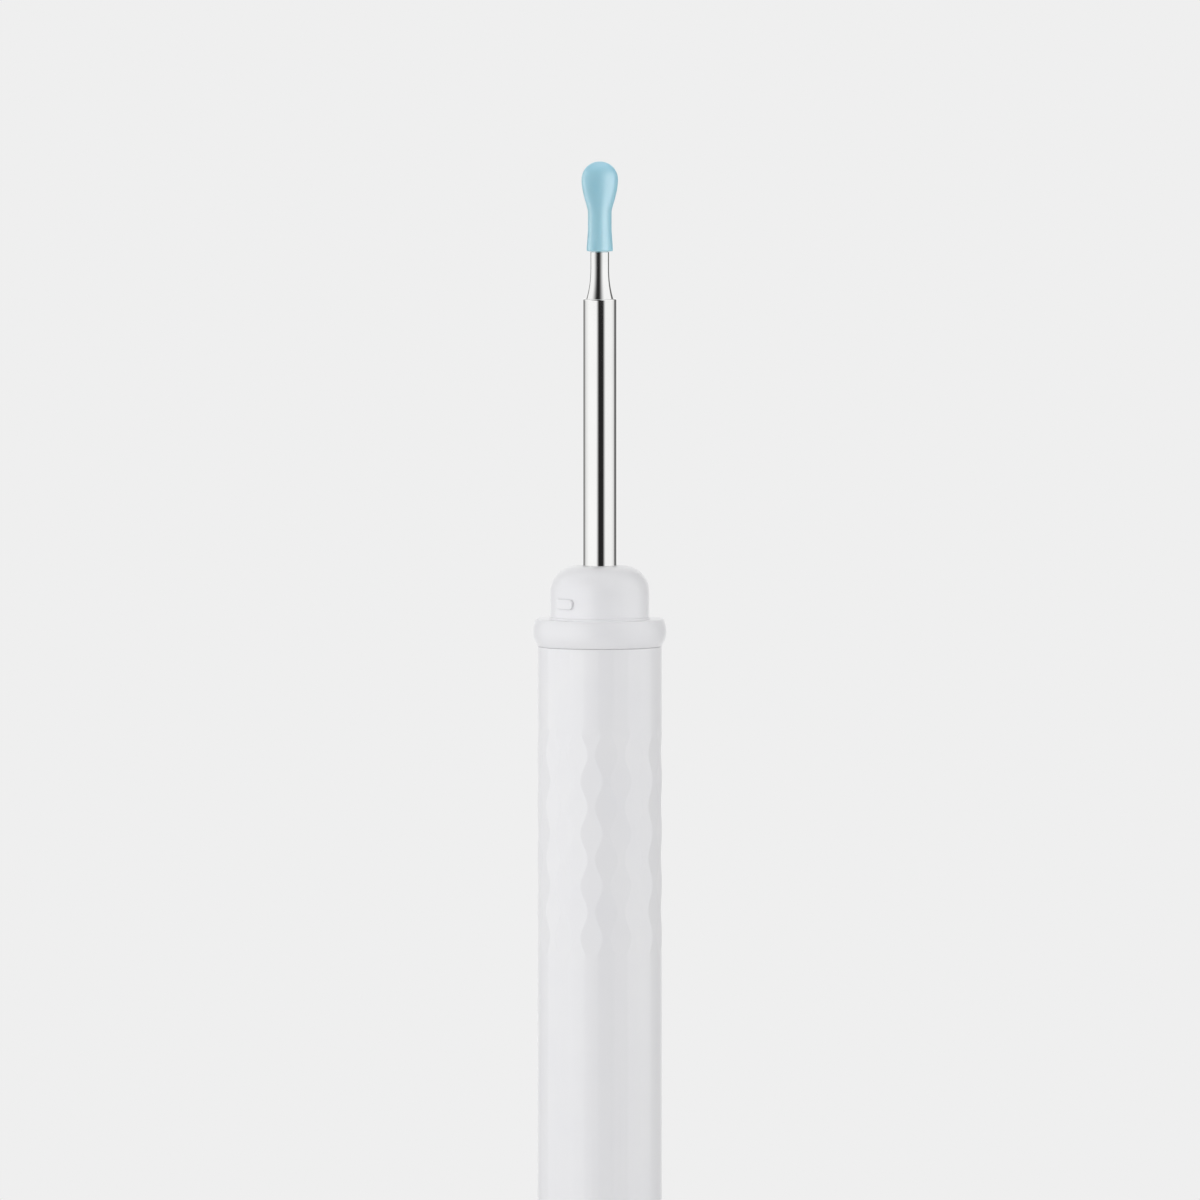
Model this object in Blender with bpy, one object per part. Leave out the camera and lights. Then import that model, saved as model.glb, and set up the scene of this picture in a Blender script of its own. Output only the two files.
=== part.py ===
"""Visual ear cleaner: a slim battery handle that carries a camera tube and a soft scoop.

The handle stands on its flat tail at the origin and points up along +Z.
The front, with the power button, faces -Y. All sizes are in metres.
"""
import math

import bmesh
import bpy
from mathutils import Matrix, Vector

# Units, fits and the number of sides that round pieces get
MM = 0.001
MERGE = 0.001 * MM
SEAT = 0.05 * MM
SLIP = 0.1 * MM
LARGE_SIDES = 34
SMALL_SIDES = 24
TINY_SIDES = 16

# Handle
SLEEVE_RADIUS = 6.42 * MM
SLEEVE_BORE = 5.32 * MM
SLEEVE_BOTTOM = 2.6 * MM
SLEEVE_TOP = 90.27 * MM
SLEEVE_EDGE = 0.12 * MM

# Grip band: flat facets between wavy edges, wide ones beside narrow ones
FACETS = 26
FACET_TURN = math.tau / FACETS
FIRST_FACET = math.radians(-6.4)
GRIP_BOTTOM = 57.9 * MM
GRIP_TOP = 82.5 * MM
GRIP_FADE = 1.3 * MM
WAVE_LENGTH = 5.39 * MM
WAVE_CREST = 76.7 * MM
WAVE_SWING = math.radians(3.1)
RINGS_PER_WAVE = 8
FACET_ANGLE = 9

# Tail cap and its charging socket
CAP_FLANGE = 2.5 * MM
CAP_SPIGOT_TOP = 8.0 * MM
CAP_EDGE = 0.9 * MM
SOCKET_WIDTH = 8.94 * MM
SOCKET_HEIGHT = 3.26 * MM
SOCKET_WALL = 0.3 * MM
SOCKET_MOUTH = 0.4 * MM
SOCKET_END = 7.7 * MM
TONGUE_WIDTH = 6.7 * MM
TONGUE_THICKNESS = 0.7 * MM
TONGUE_TIP = 1.2 * MM
TONGUE_ROOT = 5.8 * MM
TONGUE_EDGE = 0.12 * MM
SOCKET_LEAD = 0.2 * MM
POCKET_Z = 6.0 * MM
SPIGOT_LEAD = 0.3 * MM

# Seal rings and the grooves they sit in
SEAL_WIRE = 0.3 * MM
GROOVE_FLOOR = SLEEVE_BORE - 2 * SEAL_WIRE - SEAT
GROOVE_HALF = 0.36 * MM
TAIL_SEAL_Z = 5.2 * MM
COLLAR_SEAL_Z = 87.0 * MM
SPIGOT_RADIUS = SLEEVE_BORE - SEAT

# Head: barrel-sided collar, round-shouldered dome
COLLAR_BOTTOM = SLEEVE_TOP + SEAT
COLLAR_TOP = 93.12 * MM
COLLAR_RADIUS = 6.9 * MM
COLLAR_BULGE_Z = 91.87 * MM
COLLAR_BULGE_ARC = 2.55 * MM
COLLAR_EDGE = 0.12 * MM
COLLAR_SPIGOT_BOTTOM = 85.5 * MM
COLLAR_BORE = 3.6 * MM
COLLAR_LEDGE = 91.1 * MM
DOME_SINK = 0.3 * MM
DOME_RADIUS = 5.12 * MM
DOME_TOP = 98.6 * MM
DOME_CORNER = 2.7 * MM
DOME_INNER = 3.95 * MM
DOME_SPIGOT = 4.55 * MM
DOME_CEILING = 97.2 * MM
DOME_CEILING_SLOPE = 1.0 * MM
LUG_ANGLES = (-45, 135)
LUG_WIDTH = 2.4 * MM
LUG_CORNER = 0.35 * MM
LUG_RADIUS = 5.42 * MM
LUG_BOTTOM = 94.28 * MM
LUG_TOP = 95.3 * MM
LUG_ROOT = 4.7 * MM
LUG_SKIN_SIDES = 72

# Brass ferrule that holds the tube
FERRULE_FLANGE = 1.25 * MM
FERRULE_FLOOR = 0.8 * MM
FERRULE_HOLE = 1.3 * MM

# Camera tube and neck, and where the tip's cut base stands on it
TIP_BASE = 131.03 * MM
TUBE_RADIUS = 1.75 * MM
TUBE_BORE = 1.5 * MM
TUBE_BOTTOM = 88.35 * MM
TUBE_TOP = 126.0 * MM
TUBE_EDGE = 0.2 * MM
NECK_BOTTOM = 121.9 * MM
NECK_FOOT = TUBE_TOP + SEAT
NECK_RADIUS = 0.98 * MM
NECK_FLARE = 0.45 * MM
NECK_FLARE_LENGTH = 3.3 * MM
NECK_FLARE_POWER = 2.3
NECK_SHOULDER = TIP_BASE - SLIP / 2
NECK_TOP = 134.9 * MM
NECK_SPIGOT = 0.85 * MM
NECK_BORE = 0.65 * MM
NECK_CHAMBER = 1.2 * MM
NECK_CHAMBER_TOP = 125.5 * MM
NECK_CHAMBER_TAPER = 1.2 * MM

# Soft scoop tip, heights measured from its cut base
TIP_LENGTH = 9.25 * MM
TIP_FOOT_RADIUS = 1.36 * MM
TIP_WAIST_RADIUS = 1.22 * MM
TIP_BULB_HALF = 1.88 * MM
TIP_BULB_DEPTH = 1.25 * MM
TIP_FOOT_EDGE = 0.06 * MM
TIP_FOOT_TOP = 1.3 * MM
TIP_WAIST_BOTTOM = 2.6 * MM
TIP_WAIST_TOP = 4.1 * MM
TIP_BULB_HEIGHT = 7.5 * MM
TIP_SWELL_POWER = 1.2
TIP_SIDES = 28
TIP_SMOOTH_ANGLE = 30
RIM_DEPTH = 0.5 * MM
RIM_ARC = 6.0 * MM
RIM_HEIGHT = 6.8 * MM
RIM_SIDES = 72
BOWL_CENTRE = Vector((0, 0.95, 6.55)) * MM
BOWL_RADII = (1.5, 1.65, 2.35)

# Camera and lights inside the neck
WINDOW_BOTTOM = 134.55 * MM
WINDOW_THICKNESS = 0.3 * MM
BARREL_RADIUS = 0.4 * MM
BARREL_BORE = 0.27 * MM
BARREL_BOTTOM = 123.9 * MM
LENS_BOTTOM = 133.95 * MM
LENS_EDGE = 0.2 * MM
LENS_TOP = 134.28 * MM
GUIDE_BORE = 0.44 * MM
GUIDE_BOTTOM = 125.1 * MM
GUIDE_TAPER_BOTTOM = 125.4 * MM
GUIDE_TAPER_TOP = 126.75 * MM
LED_COUNT = 4
LED_CIRCLE = 0.8 * MM
LED_SIZE = (0.35 * MM, 0.5 * MM, 0.28 * MM)
LED_BOARD_Z = 124.4 * MM
LED_BOARD_THICKNESS = 0.3 * MM
SENSOR_Z = 123.35 * MM
SENSOR_SIZE = (0.96 * MM, 0.96 * MM, 0.5 * MM)
SENSOR_BOARD_THICKNESS = 0.4 * MM

# Boards and battery
BOARD_FRONT = 1.68 * MM
BOARD_BACK = 2.48 * MM
BOARD_HALF_WIDTH = 3.95 * MM
BOARD_NECK_HALF = 3.6 * MM
BOARD_BOTTOM = 3.0 * MM
BOARD_WIDENS = 9.0 * MM
BOARD_TOP = 49.5 * MM
CHASSIS_RADIUS = SLEEVE_BORE - SLIP
CHASSIS_INNER = 4.72 * MM
CHASSIS_BOTTOM = 8.6 * MM
CHASSIS_TOP = 83.6 * MM
CELL_RADIUS = 4.2 * MM
CELL_OFFSET = -0.4 * MM
CELL_BOTTOM = 52.0 * MM
CELL_TOP = 82.0 * MM
CELL_EDGE = 0.3 * MM
GUARD_SIZE = (6.6 * MM, 4.0 * MM, 0.6 * MM)
GUARD_Y = -0.6 * MM
GUARD_BOTTOM = CELL_BOTTOM - SEAT - GUARD_SIZE[2]
LEAD_RADIUS = 0.3 * MM
LEAD_START_Y = -1.2 * MM
FOAM_BOTTOM = 58.0 * MM
FOAM_TOP = 76.0 * MM
FOAM_ANGLES = (-125, -55)
BULKHEAD_HOLE = 2.0 * MM
BULKHEAD_BOTTOM = 82.3 * MM
BULKHEAD_TOP = 83.4 * MM
LEDGE_INNER = 2.3 * MM
LEDGE_BOTTOM = 10.0 * MM
LEDGE_TOP = 48.0 * MM
FLEX_WIDTH = 2.0 * MM
FLEX_THICKNESS = 0.14 * MM
FLEX_SLOT_FRONT = 2.3 * MM
FLEX_SLOT_BACK = 4.6 * MM
SCREW_X = 3.0 * MM
SCREW_HEIGHTS = (17.5 * MM, 29.5 * MM)
SCREW_SHANK = 0.5 * MM
SCREW_HEAD = 0.85 * MM
SCREW_HEAD_EDGE = 0.2 * MM
SCREW_HEAD_HEIGHT = 0.55 * MM
SCREW_TIP = 3.25 * MM
SCREW_SIDES = 12

# Parts on the front of the main board: (width, thickness, height), place across and up, finish
BOARD_PARTS = (
    ("charger_chip", (3.0 * MM, 0.75 * MM, 3.0 * MM), -1.5 * MM, 12.0 * MM, "chip_epoxy"),
    ("motion_sensor_chip", (2.5 * MM, 0.8 * MM, 3.0 * MM), 2.0 * MM, 12.0 * MM, "chip_epoxy"),
    ("status_led", (1.6 * MM, 0.6 * MM, 0.8 * MM), 0.0, 31.0 * MM, "white_ceramic"),
    ("processor_chip", (5.0 * MM, 0.85 * MM, 5.0 * MM), 0.0, 36.0 * MM, "chip_epoxy"),
    ("chip_antenna", (3.2 * MM, 1.1 * MM, 1.6 * MM), -2.0 * MM, 48.0 * MM, "white_ceramic"),
)
SHIELD_SIZE = (6.8 * MM, 1.3 * MM, 6.5 * MM)
SHIELD_Z = 43.2 * MM
SHIELD_EDGE = 0.2 * MM
CONNECTOR_SIZE = (4.0 * MM, 0.9 * MM, 3.0 * MM)
CONNECTOR_Z = 46.05 * MM
SWITCH_SIZE = (4.5 * MM, 3.5 * MM, 4.5 * MM)
SWITCH_EDGE = 0.25 * MM

# Button and light
BUTTON_Z = 24.0 * MM
BUTTON_RADIUS = 2.25 * MM
BUTTON_FACE = 6.54 * MM
BUTTON_FLANGE = 2.75 * MM
FLANGE_INNER = 3.9 * MM
FLANGE_OUTER = 4.4 * MM
STEM_RADIUS = 1.0 * MM
STEM_END = 3.45 * MM
PLUNGER_RADIUS = 1.15 * MM
PLUNGER_BOTTOM = 1.3 * MM
FACE_SIDES = 60
LIGHT_Z = 31.0 * MM
LIGHT_RADIUS = 0.72 * MM
LIGHT_FLANGE = 1.2 * MM
LIGHT_FLANGE_TOP = 5.05 * MM
LIGHT_INNER = -0.95 * MM
LIGHT_FACE = 6.4 * MM

# Finish of each material: sRGB colour, roughness, metallic
FINISHES = {
    "white_abs": ("#E9E9EB", 0.35, 0.0),
    "pale_blue_silicone": ("#A9CBD6", 0.45, 0.0),
    "polished_steel": ("#D9D9D6", 0.12, 1.0),
    "tinned_steel": ("#C2C4C6", 0.3, 1.0),
    "brass": ("#B89A55", 0.3, 1.0),
    "black_rubber": ("#1B1B1D", 0.7, 0.0),
    "black_nylon": ("#232427", 0.55, 0.0),
    "chip_epoxy": ("#18191B", 0.5, 0.0),
    "green_board": ("#1E5B3A", 0.4, 0.0),
    "amber_flex": ("#B9772B", 0.4, 0.0),
    "clear_acrylic": ("#F2F4F5", 0.08, 0.0),
    "coated_glass": ("#2C3038", 0.05, 0.0),
    "white_ceramic": ("#EDEBE2", 0.5, 0.0),
    "cell_wrap": ("#2F6FA8", 0.4, 0.0),
    "red_lead": ("#B3201F", 0.45, 0.0),
    "grey_foam": ("#5A5C60", 0.9, 0.0),
}


def linear(hex_colour):
    """Turn an sRGB hex colour into linear red, green and blue."""
    parts = [int(hex_colour[i:i + 2], 16) / 255 for i in (1, 3, 5)]
    return [part / 12.92 if part <= 0.04045 else ((part + 0.055) / 1.055) ** 2.4 for part in parts]


def finish(name):
    """Give the Principled material of that name, made on first use."""
    if name in bpy.data.materials:
        return bpy.data.materials[name]
    colour, roughness, metallic = FINISHES[name]
    material = bpy.data.materials.new(name)
    material.use_nodes = True
    shader = material.node_tree.nodes["Principled BSDF"]
    shader.inputs["Base Color"].default_value = (*linear(colour), 1)
    shader.inputs["Roughness"].default_value = roughness
    shader.inputs["Metallic"].default_value = metallic
    return material


def place(name, shape, finish_name, location=(0, 0, 0), smooth_angle=35):
    """Make a named object from a bmesh whose origin is its location."""
    mesh = bpy.data.meshes.new(name)
    shape.to_mesh(mesh)
    shape.free()
    mesh.shade_smooth()
    mesh.set_sharp_from_angle(angle=math.radians(smooth_angle))
    mesh.materials.append(finish(finish_name))
    piece = bpy.data.objects.new(name, mesh)
    piece.location = location
    bpy.context.scene.collection.objects.link(piece)
    return piece


def shaper(name, shape, location=(0, 0, 0)):
    """Make a hidden wire-frame object that only cuts or adds to a piece."""
    helper = place(name, shape, "white_abs", location)
    helper.hide_render = True
    helper.display_type = "WIRE"
    return helper


def combine(piece, operation, *helpers):
    """Cut, join or intersect a piece with helper objects, in order."""
    for helper in helpers:
        step = piece.modifiers.new(f"{operation.lower()}_{helper.name}", "BOOLEAN")
        step.operation = operation
        step.solver = "EXACT"
        step.object = helper
    return piece


def arc(centre, radius, start, end, steps):
    """Give points on a circle arc from start to end degrees, both included."""
    angles = [math.radians(start + (end - start) * i / steps) for i in range(steps + 1)]
    return [(centre[0] + radius * math.cos(a), centre[1] + radius * math.sin(a)) for a in angles]


def rounded_rectangle(width, height, radius, steps=5):
    """Give a rectangle outline with round corners, centred on zero."""
    x = width / 2 - radius
    y = height / 2 - radius
    corners = (((x, y), 0), ((-x, y), 90), ((-x, -y), 180), ((x, -y), 270))
    return [p for centre, start in corners for p in arc(centre, radius, start, start + 90, steps)]


def stadium(width, height):
    """Give a flat outline with half-round ends, centred on zero."""
    return rounded_rectangle(width, height, height / 2 - MERGE)


def smooth_step(value, start, end):
    """Blend from 0 at start to 1 at end with level ends."""
    t = min(max((value - start) / (end - start), 0), 1)
    return t * t * (3 - 2 * t)


def tidy(shape):
    """Merge doubled points and turn every face outwards."""
    bmesh.ops.remove_doubles(shape, verts=shape.verts, dist=MERGE)
    bmesh.ops.recalc_face_normals(shape, faces=shape.faces)
    return shape


def turned(outline, sides=LARGE_SIDES, closed=True):
    """Turn an outline of (radius, height) points about the Z axis.

    An outline that is not closed starts and ends on the axis.
    """
    shape = bmesh.new()
    points = [shape.verts.new((radius, 0, height)) for radius, height in outline]
    edges = [shape.edges.new(pair) for pair in zip(points, points[1:])]
    if closed:
        edges.append(shape.edges.new((points[-1], points[0])))
    bmesh.ops.spin(
        shape, geom=points + edges, cent=(0, 0, 0), axis=(0, 0, 1), angle=math.tau, steps=sides, use_merge=True
    )
    return tidy(shape)


def drum(radius, low, high, sides=SMALL_SIDES, edge=0.0):
    """Give a solid round bar between two heights, with optional edge chamfers."""
    outline = [(0, low), (radius - edge, low), (radius, low + edge)]
    outline += [(radius, high - edge), (radius - edge, high), (0, high)]
    return turned(outline, sides, closed=False)


def pipe(outer, inner, low, high, sides=SMALL_SIDES):
    """Give a plain round tube between two heights."""
    return turned([(inner, low), (outer, low), (outer, high), (inner, high)], sides)


def facing_front(shape):
    """Turn a shape made along +Z so that it points to the front, -Y."""
    shape.transform(Matrix.Rotation(math.pi / 2, 4, "X"))
    return shape


def loft(rings, closed=False):
    """Join rings of equally many points, capping the ends unless closed."""
    shape = bmesh.new()
    loops = [[shape.verts.new(point) for point in ring] for ring in rings]
    pairs = list(zip(loops, loops[1:]))
    if closed:
        pairs.append((loops[-1], loops[0]))
    for low, high in pairs:
        for i, point in enumerate(low):
            j = (i + 1) % len(low)
            shape.faces.new((point, low[j], high[j], high[i]))
    if not closed:
        shape.faces.new(loops[0][::-1])
        shape.faces.new(loops[-1])
    return tidy(shape)


def upright(outline, low, high):
    """Give a prism of an (x, y) outline between two heights."""
    return loft([[(x, y, z) for x, y in outline] for z in (low, high)])


def plate(outline, front, back):
    """Give a prism of an (x, z) outline between two depths along Y."""
    return loft([[(x, y, z) for x, z in outline] for y in (front, back)])


def block(size, centre, edge=0.0):
    """Give a box of that size about a centre, with bevelled edges if asked."""
    shape = bmesh.new()
    bmesh.ops.create_cube(shape, size=1)
    shape.transform(Matrix.Translation(centre) @ Matrix.Diagonal((*size, 1)))
    if edge:
        bmesh.ops.bevel(shape, geom=shape.edges[:], offset=edge, segments=1, affect="EDGES")
    return shape


def seal_ring(name, height):
    """Make a rubber ring that fills the groove at that height."""
    middle = SLEEVE_BORE - SEAL_WIRE - SEAT / 2
    wire = arc((middle, height), SEAL_WIRE, 0, 288, 4)
    return place(name, turned(wire, SMALL_SIDES), "black_rubber")


def groove(height):
    """Give the outline points of a seal groove, from its top edge down."""
    top = height + GROOVE_HALF
    bottom = height - GROOVE_HALF
    return [(SPIGOT_RADIUS, top), (GROOVE_FLOOR, top), (GROOVE_FLOOR, bottom), (SPIGOT_RADIUS, bottom)]


def sleeve_ring(height, radius):
    """Give one ring of the sleeve: an edge point and a middle point per facet.

    The edges swing from side to side with height, so that each facet bulges
    where its neighbours narrow. Every facet is the flat between its two edges.
    """
    depth = smooth_step(height, GRIP_BOTTOM, GRIP_BOTTOM + GRIP_FADE)
    depth *= smooth_step(height, GRIP_TOP, GRIP_TOP - GRIP_FADE)
    depth *= radius == SLEEVE_RADIUS
    swing = WAVE_SWING * math.cos(math.tau * (height - WAVE_CREST) / WAVE_LENGTH)
    ring = []
    for i in range(FACETS):
        side = 1 if i % 2 == 0 else -1
        middle = FIRST_FACET + i * FACET_TURN
        half = FACET_TURN / 2 + side * swing
        flat = radius * (1 - depth + depth * math.cos(half))
        for angle, reach in ((middle, flat), (middle + half, radius)):
            ring.append((reach * math.sin(angle), -reach * math.cos(angle), height))
    return ring


def make_sleeve():
    """Make the round handle with its grip band, button hole and light hole."""
    step = WAVE_LENGTH / RINGS_PER_WAVE
    grip_rings = int((GRIP_TOP - GRIP_BOTTOM) / step)
    edge_radius = SLEEVE_RADIUS - SLEEVE_EDGE
    outside = [(SLEEVE_BOTTOM, edge_radius), (SLEEVE_BOTTOM + SLEEVE_EDGE, SLEEVE_RADIUS)]
    outside += [(GRIP_BOTTOM + i * step, SLEEVE_RADIUS) for i in range(grip_rings + 1)]
    outside += [(GRIP_TOP, SLEEVE_RADIUS)]
    outside += [(SLEEVE_TOP - SLEEVE_EDGE, SLEEVE_RADIUS), (SLEEVE_TOP, edge_radius)]
    inside = [(SLEEVE_TOP, SLEEVE_BORE), (SLEEVE_BOTTOM, SLEEVE_BORE)]
    rings = [sleeve_ring(height, radius) for height, radius in outside + inside]
    sleeve = place("handle_sleeve", loft(rings, closed=True), "white_abs", smooth_angle=FACET_ANGLE)
    inside_bore = SLEEVE_BORE - MM
    past_wall = SLEEVE_RADIUS + MM
    button_hole = drum(BUTTON_RADIUS + SLIP, inside_bore, past_wall, LARGE_SIDES)
    light_hole = drum(LIGHT_RADIUS + SEAT, inside_bore, past_wall, TINY_SIDES)
    return combine(
        sleeve,
        "DIFFERENCE",
        shaper("cut_button_hole", facing_front(button_hole), (0, 0, BUTTON_Z)),
        shaper("cut_light_hole", facing_front(light_hole), (0, 0, LIGHT_Z)),
    )


def make_tail():
    """Make the tail cap with its socket opening, its seal, and the socket."""
    outline = arc((SLEEVE_RADIUS - CAP_EDGE, CAP_EDGE), CAP_EDGE, -90, 0, 4)
    outline += [(SLEEVE_RADIUS, CAP_FLANGE - SLEEVE_EDGE), (SLEEVE_RADIUS - SLEEVE_EDGE, CAP_FLANGE)]
    outline += [(SPIGOT_RADIUS, CAP_FLANGE), *groove(TAIL_SEAL_Z)[::-1]]
    outline += [(SPIGOT_RADIUS, CAP_SPIGOT_TOP - SPIGOT_LEAD), (SPIGOT_RADIUS - SPIGOT_LEAD, CAP_SPIGOT_TOP)]
    cap = place("tail_cap", turned([(0, 0), *outline, (0, CAP_SPIGOT_TOP)], closed=False), "white_abs")
    opening = stadium(SOCKET_WIDTH + 2 * SLIP, SOCKET_HEIGHT + 2 * SLIP)
    flare = stadium(SOCKET_WIDTH + 2 * SLIP + 4 * SOCKET_LEAD, SOCKET_HEIGHT + 2 * SLIP + 4 * SOCKET_LEAD)
    lead_in = loft(
        [[(x, y, -SOCKET_LEAD) for x, y in flare], [(x, y, SOCKET_LEAD) for x, y in opening]]
    )
    pocket_depth = BOARD_BACK + SLIP
    board_pocket = block(
        (2 * (BOARD_NECK_HALF + SLIP), pocket_depth, CAP_SPIGOT_TOP), (0, pocket_depth / 2, POCKET_Z)
    )
    combine(
        cap,
        "DIFFERENCE",
        shaper("cut_socket_opening", upright(opening, -MM, CAP_SPIGOT_TOP + MM)),
        shaper("cut_board_pocket", board_pocket),
        shaper("cut_socket_lead_in", lead_in),
    )
    seal_ring("tail_seal", TAIL_SEAL_Z)

    outer = stadium(SOCKET_WIDTH, SOCKET_HEIGHT)
    inner_width = SOCKET_WIDTH - 2 * SOCKET_WALL
    inner_height = SOCKET_HEIGHT - 2 * SOCKET_WALL
    inner = stadium(inner_width, inner_height)
    stations = ((inner, SOCKET_END - SOCKET_WALL), (inner, SOCKET_MOUTH), (outer, SOCKET_MOUTH), (outer, SOCKET_END))
    shell = loft([[(x, y, z) for x, y in outline] for outline, z in stations])
    place("usb_shell", shell, "tinned_steel")
    root = stadium(inner_width - 2 * SEAT, inner_height - 2 * SEAT)
    tongue = place(
        "usb_tongue", upright(root, TONGUE_ROOT, SOCKET_END - SOCKET_WALL - SEAT), "black_nylon"
    )
    blade_length = TONGUE_ROOT - TONGUE_TIP + MM / 2
    blade_middle = (0, 0, TONGUE_TIP + blade_length / 2)
    blade = block((TONGUE_WIDTH, TONGUE_THICKNESS, blade_length), blade_middle, TONGUE_EDGE)
    combine(tongue, "UNION", shaper("add_tongue_blade", blade))


def make_collar():
    """Make the barrel-sided collar with its sealed spigot and inner ledge."""
    bulge_centre = (COLLAR_RADIUS - COLLAR_BULGE_ARC, COLLAR_BULGE_Z)
    low_angle = math.degrees(math.asin((COLLAR_BOTTOM - COLLAR_BULGE_Z) / COLLAR_BULGE_ARC))
    high_angle = math.degrees(math.asin((COLLAR_TOP - COLLAR_EDGE - COLLAR_BULGE_Z) / COLLAR_BULGE_ARC))
    side = arc(bulge_centre, COLLAR_BULGE_ARC, low_angle, high_angle, 7)
    outline = [(SPIGOT_RADIUS, COLLAR_BOTTOM), *side, (side[-1][0] - COLLAR_EDGE, COLLAR_TOP)]
    recess_floor = COLLAR_TOP - DOME_SINK
    outline += [(DOME_RADIUS + SEAT, COLLAR_TOP), (DOME_RADIUS + SEAT, recess_floor)]
    outline += [(DOME_SPIGOT + SEAT, recess_floor), (DOME_SPIGOT + SEAT, COLLAR_LEDGE)]
    outline += [(COLLAR_BORE, COLLAR_LEDGE), (COLLAR_BORE, COLLAR_SPIGOT_BOTTOM)]
    outline += [(SPIGOT_RADIUS - SPIGOT_LEAD, COLLAR_SPIGOT_BOTTOM)]
    outline += [(SPIGOT_RADIUS, COLLAR_SPIGOT_BOTTOM + SPIGOT_LEAD)]
    outline += groove(COLLAR_SEAL_Z)[::-1]
    place("head_collar", turned(outline), "white_abs")
    seal_ring("collar_seal", COLLAR_SEAL_Z)


def make_dome():
    """Make the round-shouldered dome, sunk into the collar, with its two raised lugs."""
    shoulder_z = DOME_TOP - DOME_CORNER
    foot = COLLAR_TOP - DOME_SINK + SEAT
    outline = [(DOME_INNER, COLLAR_LEDGE + SEAT), (DOME_SPIGOT, COLLAR_LEDGE + SEAT)]
    outline += [(DOME_SPIGOT, foot), (DOME_RADIUS, foot)]
    outline += arc((DOME_RADIUS - DOME_CORNER, shoulder_z), DOME_CORNER, 0, 90, 7)
    mouth = TUBE_RADIUS + SEAT
    outline += [(mouth + SLEEVE_EDGE, DOME_TOP), (mouth, DOME_TOP - SLEEVE_EDGE)]
    outline += [(mouth, DOME_CEILING), (DOME_INNER - DOME_CEILING_SLOPE, DOME_CEILING)]
    outline += [(DOME_INNER, DOME_CEILING - DOME_CEILING_SLOPE)]
    dome = place("head_dome", turned(outline), "white_abs")
    lug_middle = (LUG_TOP + LUG_BOTTOM) / 2
    corners = rounded_rectangle(LUG_WIDTH, LUG_TOP - LUG_BOTTOM, LUG_CORNER, 3)
    for number, middle in enumerate(LUG_ANGLES, start=1):
        prism = plate([(x, lug_middle + z) for x, z in corners], -LUG_RADIUS - SLIP, -LUG_ROOT)
        prism.transform(Matrix.Rotation(math.radians(middle), 4, "Z"))
        skin = drum(LUG_RADIUS, LUG_BOTTOM - SLIP, LUG_TOP + SLIP, LUG_SKIN_SIDES)
        lug = shaper(f"add_lug_{number}", prism)
        combine(lug, "INTERSECT", shaper(f"trim_lug_{number}", skin))
        combine(dome, "UNION", lug)


def make_ferrule():
    """Make the brass ferrule that holds the camera tube upright in the collar."""
    body = COLLAR_BORE - SEAT
    flange = DOME_INNER - SEAT
    bore = TUBE_RADIUS + SEAT
    stop = TUBE_BOTTOM - SEAT
    flange_bottom = COLLAR_LEDGE + SEAT
    flange_top = flange_bottom + FERRULE_FLANGE
    bottom = stop - FERRULE_FLOOR
    outline = [(FERRULE_HOLE, bottom), (body, bottom), (body, flange_bottom), (flange, flange_bottom)]
    outline += [(flange, flange_top), (bore, flange_top), (bore, stop), (FERRULE_HOLE, stop)]
    place("tube_ferrule", turned(outline, SMALL_SIDES), "brass")


def make_tube():
    """Make the straight steel camera tube."""
    edge = TUBE_RADIUS - TUBE_EDGE
    outline = [(TUBE_BORE, TUBE_BOTTOM), (TUBE_RADIUS, TUBE_BOTTOM), (TUBE_RADIUS, TUBE_TOP - TUBE_EDGE)]
    outline += [(edge, TUBE_TOP), (TUBE_BORE, TUBE_TOP)]
    place("lens_tube", turned(outline), "polished_steel")


def neck_radius(height):
    """Give the neck's radius where it sweeps in from its foot to its stem."""
    rise = height - NECK_FOOT
    return NECK_RADIUS + NECK_FLARE * max(1 - rise / NECK_FLARE_LENGTH, 0) ** NECK_FLARE_POWER


def make_neck():
    """Make the turned steel neck that plugs the tube and carries the tip."""
    plug = TUBE_BORE - SEAT / 2
    steps = 8
    sweep = [NECK_FOOT + NECK_FLARE_LENGTH * (i / steps) ** 1.2 for i in range(steps + 1)]
    outline = [(NECK_CHAMBER, NECK_BOTTOM), (plug, NECK_BOTTOM), (plug, NECK_FOOT)]
    outline += [(neck_radius(height), height) for height in sweep]
    outline += [(NECK_RADIUS, NECK_SHOULDER), (NECK_SPIGOT, NECK_SHOULDER)]
    outline += [(NECK_SPIGOT, NECK_TOP - SLIP), (NECK_SPIGOT - SLIP, NECK_TOP), (NECK_BORE, NECK_TOP)]
    outline += [(NECK_BORE, NECK_CHAMBER_TOP + NECK_CHAMBER_TAPER), (NECK_CHAMBER, NECK_CHAMBER_TOP)]
    place("lens_neck", turned(outline, SMALL_SIDES), "polished_steel")


def tip_half_width(height):
    """Give the tip's half width seen from the front."""
    if height > TIP_BULB_HEIGHT:
        rise = (height - TIP_BULB_HEIGHT) / (TIP_LENGTH - TIP_BULB_HEIGHT)
        return TIP_BULB_HALF * math.sqrt(max(1 - rise * rise, 0))
    if height > TIP_WAIST_TOP:
        drop = (TIP_BULB_HEIGHT - height) / (TIP_BULB_HEIGHT - TIP_WAIST_TOP)
        swell = math.cos(drop * math.pi / 2) ** TIP_SWELL_POWER
        return TIP_WAIST_RADIUS + (TIP_BULB_HALF - TIP_WAIST_RADIUS) * swell
    flare = 1 - smooth_step(height, TIP_FOOT_TOP, TIP_WAIST_BOTTOM)
    return TIP_WAIST_RADIUS + (TIP_FOOT_RADIUS - TIP_WAIST_RADIUS) * flare


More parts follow.
